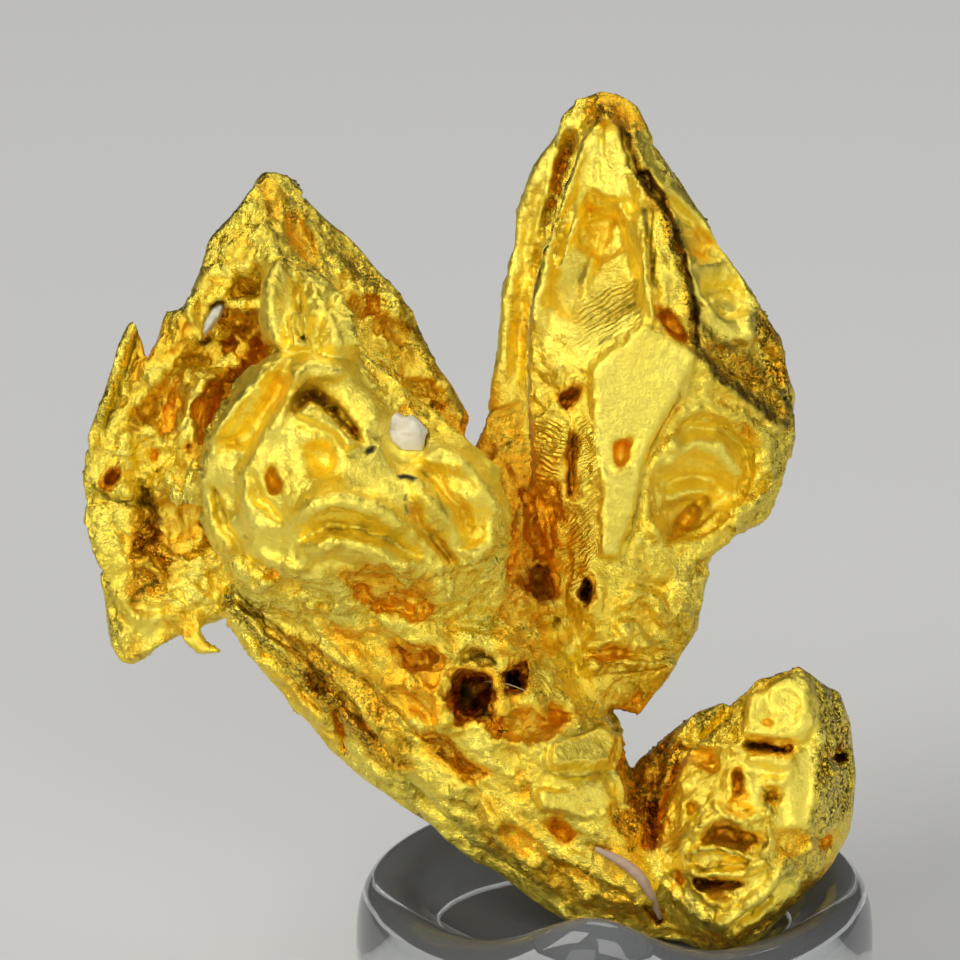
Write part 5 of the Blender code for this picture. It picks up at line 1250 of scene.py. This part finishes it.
def native_gold():
    """Native gold with a little silver: rich yellow, painted redder and darker in the hollows for shade and
    light passed between walls, finely crinkled.
    """
    gold = Finish("native_gold", Specular_IOR_Level=0.2)
    worked, attribute = gold.worked, gold.attribute
    patches = gold.noise(1400.0, 4.0, 0.6)
    uneven = worked("MULTIPLY", worked("SUBTRACT", patches, 0.5), 0.35)
    # The troughs of the crinkled relief are painted darker and redder: painted shade.
    trough_shade = worked("MULTIPLY", worked("SUBTRACT", 0.5, attribute("crumple")), 0.35)
    # Painted shade and redness in the hollows, with random patches of tone.
    shade_and_mottle = worked("ADD", worked("MULTIPLY", attribute("hollow"), 0.8), worked("ADD", uneven, trough_shade))
    # Calm flats are painted paler, as if lit more: painted light.
    tone = worked("SUBTRACT", worked("ADD", shade_and_mottle, 0.2), worked("MULTIPLY", attribute("calm"), 0.19))
    # Flecks of painted dark reflection, and lines of painted shade in the creases.
    speckles = worked("MULTIPLY", worked("SUBTRACT", gold.noise(24000.0, 2.0, 0.6), 0.44), 9.0)
    speckled = gold.joined("ShaderNodeClamp", ("Value", speckles)).outputs["Result"]
    dark = worked("MAXIMUM", worked("MULTIPLY", attribute("dusk"), speckled), attribute("seam"))
    shaded_colour = gold.mixed(dark, gold.ramp(tone, GOLD_TONES), PAINTED_DARK_GOLD)
    gold.feed("Base Color", gold.mixed(attribute("grit"), shaded_colour, BLACK_GRIT))
    gold.feed("Metallic", worked("SUBTRACT", 1.0, attribute("grit")))

    inputs = ("Value", patches), ("To Min", SHINIEST), ("To Max", DULLEST)
    sheen = gold.joined("ShaderNodeMapRange", *inputs).outputs["Result"]
    matt = worked("MULTIPLY", attribute("calm"), 0.20)
    gold.feed("Roughness", worked("ADD", worked("ADD", sheen, matt), attribute("grit")))

    def wrinkles(scale, detail):
        """Fine wrinkles with sharp creases, drawn out along the growth."""
        inputs = ("Vector", gold.place), ("Rotation", (0.3, 0.5, 0.2)), ("Scale", (1.0, 1.0, 0.45))
        drawn = gold.joined("ShaderNodeMapping", *inputs).outputs["Vector"]
        ridged = gold.joined("ShaderNodeTexNoise", noise_type="RIDGED_MULTIFRACTAL")
        for socket, value in (("Scale", scale), ("Detail", detail), ("Distortion", 0.6)):
            ridged.inputs[socket].default_value = value
        gold.links.new(drawn, ridged.inputs["Vector"])
        return ridged.outputs["Fac"]

    def small_flats(scale):
        """Tiny flats, each tilted its own way: how far each place is along its own flat's tilt."""
        cells = gold.joined("ShaderNodeTexVoronoi", ("Vector", gold.place), ("Scale", scale))
        inputs = (0, gold.place), (1, cells.outputs["Position"])
        apart = gold.joined("ShaderNodeVectorMath", *inputs, operation="SUBTRACT")
        inputs = (0, cells.outputs["Color"]), (1, (0.5, 0.5, 0.5))
        tilt = gold.joined("ShaderNodeVectorMath", *inputs, operation="SUBTRACT")
        inputs = (0, apart.outputs["Vector"]), (1, tilt.outputs["Vector"])
        along = gold.joined("ShaderNodeVectorMath", *inputs, operation="DOT_PRODUCT")
        return worked("MULTIPLY", along.outputs["Value"], 0.28)

    lively = worked("SUBTRACT", 1.0, worked("MULTIPLY", attribute("calm"), 0.45))
    flats = worked("MULTIPLY", worked("ADD", small_flats(8000.0), small_flats(17000.0)), lively)
    lines = worked("SINE", worked("MULTIPLY", attribute("rib_count"), math.tau))
    ribs = worked("MULTIPLY", worked("MULTIPLY", lines, attribute("rib_share")), RIB_HEIGHT)
    grainy = worked("MULTIPLY", worked("SUBTRACT", gold.noise(24000.0, 3.0, 0.7), 0.5), FINE_GRAIN)
    pitting = worked("MULTIPLY", grainy, lively)
    foiled = worked("MULTIPLY", worked("MULTIPLY", wrinkles(6000.0, 4.0), lively), FINE_WRINKLE)
    fine = worked("ADD", worked("ADD", flats, ribs), worked("ADD", pitting, foiled))
    gold.bump(fine, strength=1.0, distance=1.0)
    return gold.material


gold_finish = native_gold()


def upright(place):
    """A place in the group's frame, in millimetres, as one in the row's frame, in metres."""
    return Vector((TURN.T @ np.array(place) + FOOT) * MM)


def parted(name, planes):
    """A closed piece of the growth, on the inner side of each plane, in the row's frame and in metres."""
    part = bmesh.new()
    part.from_mesh(skin.mesh)
    for place, out in planes:
        cut = bmesh.ops.bisect_plane(
            part,
            geom=part.verts[:] + part.edges[:] + part.faces[:],
            plane_co=place,
            plane_no=out,
            clear_outer=True,
        )
        rim = [e for e in cut["geom_cut"] if isinstance(e, bmesh.types.BMEdge) and e.is_boundary]
        filled = bmesh.ops.triangle_fill(part, edges=rim, use_beauty=True, normal=out)["geom"]
        for edge in rim:
            edge.smooth = False
        for cap in (g for g in filled if isinstance(g, bmesh.types.BMFace)):
            cap.smooth = False
            cap.normal_update()
            if cap.normal.dot(Vector(out)) < 0:
                cap.normal_flip()
    for vert in part.verts:
        vert.co = upright(vert.co)
    piece = linked(name, mesh_of(part, name))
    piece.data.materials.append(gold_finish)
    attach(piece, "root")
    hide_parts("gold_crystals")


def far_side(plane):
    place, way = plane
    return place, tuple(-share for share in way)


# The clefts between the crystals, each a place and the way across it, in the group's frame.
CLEFT = ((-1.4, 0.0, 5.0), (1.0, 0.0, 0.12))
WAIST = ((0.0, 0.0, 3.9), (0.12, 0.0, -1.0))
FRONT = ((-3.0, -0.35, 5.5), (0.0, 1.0, 0.1))
SMALL = ((0.62, 0.0, 1.3), (-1.0, 0.0, 0.35))
BACK = ((0.0, 1.15, 0.0), (0.0, 1.0, 0.0))

parted("tall_crystal", [far_side(CLEFT), WAIST, BACK])
parted("tall_crystal_back", [far_side(CLEFT), WAIST, far_side(BACK)])
parted("front_crystal", [CLEFT, WAIST, FRONT])
parted("hopper_crystal", [CLEFT, WAIST, far_side(FRONT), BACK])
parted("hopper_crystal_back", [CLEFT, WAIST, far_side(BACK)])
parted("small_crystal", [far_side(WAIST), SMALL])
parted("arm_and_foot", [far_side(WAIST), far_side(SMALL)])

# ======================================================================================================
# The fibres
# Two stray fibres that caught on the gold after it was cleaned: a pale scrap across the foot, and a fine
# hair across the holes above it. They only lie on the skin.


CLEAR_OF_SKIN = 0.04


def front_of(right, up):
    """The depth of the frontmost skin at a (right, up)."""
    reach = np.hypot(skin.points[:, 0] - right, skin.points[:, 2] - up)
    return skin.points[reach < 0.06, 1].min()


def shades(colour, darker):
    """A ramp from a darker shade of a colour to the colour itself."""
    return [(0.0, [share * darker for share in colour]), (1.0, colour)]


def strand(name, thickness, colour, places):
    """A fibre that lies along the skin, thinning towards its ends."""
    curve = bpy.data.curves.new(name, "CURVE")
    curve.dimensions = "3D"
    curve.bevel_depth = thickness / 2 * STEP * MM
    curve.bevel_resolution = 3
    curve.use_fill_caps = True
    route = curve.splines.new("NURBS")
    route.points.add(len(places) - 1)
    route.use_endpoint_u = True
    route.order_u = 4
    for index, (point, (right, up)) in enumerate(zip(route.points, spots(places))):
        lying = (right, front_of(right, up) - CLEAR_OF_SKIN, up)
        point.co = (*upright(lying), 1)
        point.radius = 0.25 + 0.75 * math.sin(math.pi * (index + 0.3) / (len(places) - 0.4))
    laid = bpy.data.objects.new(name, curve)
    made = bpy.data.meshes.new_from_object(laid)
    bpy.data.objects.remove(laid)
    bpy.data.curves.remove(curve)
    piece = linked(name, mesh_of(welded(made), name, smooth=True))
    bpy.data.meshes.remove(made)
    fibre = Finish(name, Roughness=0.5, Transmission_Weight=0.3)
    fibre.feed("Base Color", fibre.ramp(fibre.noise(9000.0), shades(colour, 0.55)))
    piece.data.materials.append(fibre.material)
    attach(piece, "root")


strand("foot_fibre", 12, (0.78, 0.56, 0.40), [(595, 847), (616, 857), (637, 869), (650, 890), (660, 918)])
strand("fine_hair", 1.6, (0.80, 0.66, 0.42), [(484, 681), (498, 679), (512, 684), (526, 690)])
bpy.data.meshes.remove(skin.mesh)

# ======================================================================================================
# The quartz
# Two grains of the vein quartz that the gold grew in: a milky one on the front crystal, and a grey sliver
# on the hopper crystal's shoulder. Both are still held by the gold.


def quartz_finish(name, colour, milk):
    quartz = Finish(
        name, Roughness=0.36, IOR=1.54, Transmission_Weight=0.12, Subsurface_Weight=milk,
        Subsurface_Radius=(0.2 * MM, 0.2 * MM, 0.2 * MM),
    )
    veil = quartz.noise(5200.0, 5.0)
    quartz.feed("Base Color", quartz.ramp(veil, shades(colour, 0.72)))
    quartz.bump(veil, strength=0.5, distance=0.01 * MM)
    return quartz.material


AHEAD = Vector(TURN.T @ -AWAY)


def worn_grain(node, name, roughness, colour, milk, proud):
    """A grain with chipped, rounded corners, which may stand proud of its node towards the front."""
    worn = welded(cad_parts[node].data)
    bmesh.ops.subdivide_edges(worn, edges=worn.edges, cuts=5, use_grid_fill=True, smooth=0.3)
    for _ in range(3):
        bmesh.ops.smooth_vert(
            worn, verts=worn.verts, factor=0.4, use_axis_x=True, use_axis_y=True, use_axis_z=True
        )
    worn.normal_update()
    places = np.array([vert.co for vert in worn.verts]) / MM
    chips = roughness * (facets(places, 0.24, 81) + 0.6 * grain(places * 3.5, 83) + 0.3)
    for vert, chip in zip(worn.verts, chips):
        stand = proud * max(0.0, vert.normal.dot(AHEAD))
        vert.co += (vert.normal * chip + AHEAD * stand) * MM
    piece = linked(name, mesh_of(worn, name, smooth=True))
    piece.data.materials.append(quartz_finish(name, colour, milk))
    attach(piece, "root")
    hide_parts(node)


worn_grain("quartz_grain", "milky_quartz", 0.05, (0.95, 0.88, 0.68), 0.7, proud=0.0)
worn_grain("quartz_sliver", "grey_quartz", 0.012, (0.82, 0.81, 0.70), 0.5, proud=0.22)

# ======================================================================================================
# The clear pad
# A round pad cast in clear resin, with a dish in its top that grips the specimen's foot. Its lip rises in
# a wave in front of the foot.

PAD_LOW, PAD_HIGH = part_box("clear_stand")
PAD_RADIUS = (PAD_HIGH[0] - PAD_LOW[0]) / 2 / MM
DISH_FLOOR = 2.6
WAVE_HEIGHT = 0.6
WAVE_PLACE, WAVE_WIDTH = -0.3, 0.95
PAD_TURNS = 144
# Each ring's distance in from the pad's radius, its height, and its share of the lip's wave.
PAD_RINGS = [
    (0.15, 0.0, 0.0), (0.07, 0.04, 0.0), (0.05, 0.12, 0.0), (0.045, 0.6, 0.0), (0.04, 1.2, 0.0),
    (0.02, 1.7, 0.03), (0.0, 2.1, 0.1), (0.005, 2.35, 0.25), (0.03, 2.57, 0.42), (0.08, 2.74, 0.65),
    (0.16, 2.87, 0.84), (0.26, 2.95, 0.96), (0.37, 2.98, 1.0), (0.48, 2.97, 1.0), (0.58, 2.93, 0.95),
    (0.67, 2.87, 0.88), (0.75, 2.8, 0.74), (0.86, 2.73, 0.5), (0.98, 2.68, 0.33), (1.12, 2.64, 0.17),
    (1.28, 2.615, 0.06), (1.5, 2.602, 0.0), (1.8, 2.6, 0.0),
]


def clear_resin():
    resin = Finish(
        "clear_resin", Base_Color=(0.93, 0.96, 0.97, 1), Roughness=0.03, IOR=1.45, Transmission_Weight=0.88
    )
    resin.bump(resin.noise(700.0), strength=0.25, distance=0.05 * MM)
    return resin.material


def cast_pad():
    cast = bmesh.new()
    profile = [cast.verts.new((0, 0, 0))]
    profile += [cast.verts.new((PAD_RADIUS - inset, 0, height)) for inset, height, _ in PAD_RINGS]
    profile.append(cast.verts.new((0, 0, DISH_FLOOR)))
    edges = [cast.edges.new(pair) for pair in zip(profile, profile[1:])]
    bmesh.ops.spin(
        cast, geom=profile + edges, axis=(0, 0, 1), cent=(0, 0, 0), angle=math.tau, steps=PAD_TURNS,
        use_merge=True,
    )
    bmesh.ops.remove_doubles(cast, verts=cast.verts, dist=1e-4)
    rings = np.array([(PAD_RADIUS - inset, height, share) for inset, height, share in PAD_RINGS])
    for vert in cast.verts:
        x, y, height = vert.co
        reach = math.hypot(x, y)
        share = rings[np.argmin(np.hypot(rings[:, 0] - reach, rings[:, 1] - height)), 2]
        wave = math.exp(-(((x - WAVE_PLACE) / WAVE_WIDTH) ** 2)) if y < 0 else 0.0
        vert.co.z += WAVE_HEIGHT * wave * share * (reach > 1)
        vert.co *= MM
    bmesh.ops.recalc_face_normals(cast, faces=cast.faces)
    piece = linked("clear_pad", mesh_of(cast, "clear_pad", smooth=True))
    piece.data.materials.append(clear_resin())
    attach(piece, "root")
    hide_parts("clear_stand")


cast_pad()

# ======================================================================================================
# The studio
# A plain pale floor, soft lights, and a camera at the angle from which the specimen is shown.

MIDDLE = (-1.7, 1.0, 7.0)
CAMERA_DISTANCE = 140.0
VIEW_MIDDLE = (-1.7, 5.5625)  # right and up of the group frame's start
LENS = 420.0
FLOOR_RADIUS = 140.0
PALE_GREY = (0.72, 0.72, 0.71, 1)
STUDIO_GREY = (0.035, 0.035, 0.037, 1)
LIGHTS = [
    # name, place, size, brightness of its face, colour
    ("key", (-95, -95, 125), 95, 6.2, (1.0, 0.98, 0.94)),
    ("front", (25, -170, 95), 80, 4.0, (1.0, 1.0, 1.0)),
    ("low", (-60, -165, 30), 70, 1.8, (1.0, 1.0, 1.0)),
    ("fill", (130, -60, 60), 70, 3.0, (1.0, 1.0, 1.0)),
    ("top", (20, 60, 160), 100, 3.4, (1.0, 1.0, 1.0)),
]

for name, place, size, brightness, colour in LIGHTS:
    lamp = bpy.data.lights.new(name, "AREA")
    lamp.size = size * MM
    lamp.energy = brightness * math.pi * lamp.size**2
    lamp.color = colour
    holder = linked(name, lamp)
    holder.location = Vector(place) * MM
    holder.rotation_euler = (Vector(MIDDLE) - Vector(place)).to_track_quat("-Z", "Y").to_euler()

disc = bmesh.new()
bmesh.ops.create_circle(disc, cap_ends=True, segments=96, radius=FLOOR_RADIUS * MM)
floor = linked("floor", mesh_of(disc, "floor"))
pale = Finish("pale_floor", Base_Color=PALE_GREY, Roughness=0.9)
floor.data.materials.append(pale.material)

world = bpy.data.worlds.new("studio")
bpy.context.scene.world = world
world.use_nodes = True
world.node_tree.nodes["Background"].inputs["Color"].default_value = STUDIO_GREY
bpy.context.scene.view_settings.view_transform = "Standard"

lens = bpy.data.cameras.new("camera")
lens.sensor_width = 36.0
lens.lens = LENS
lens.clip_start = 0.001
camera = linked("camera", lens)
aim = TURN.T @ np.array((VIEW_MIDDLE[0], 0.0, VIEW_MIDDLE[1])) + FOOT
away = Vector(TURN.T @ AWAY)
camera.location = (Vector(aim) - away * CAMERA_DISTANCE) * MM
camera.rotation_euler = away.to_track_quat("-Z", "Y").to_euler()
bpy.context.scene.camera = camera
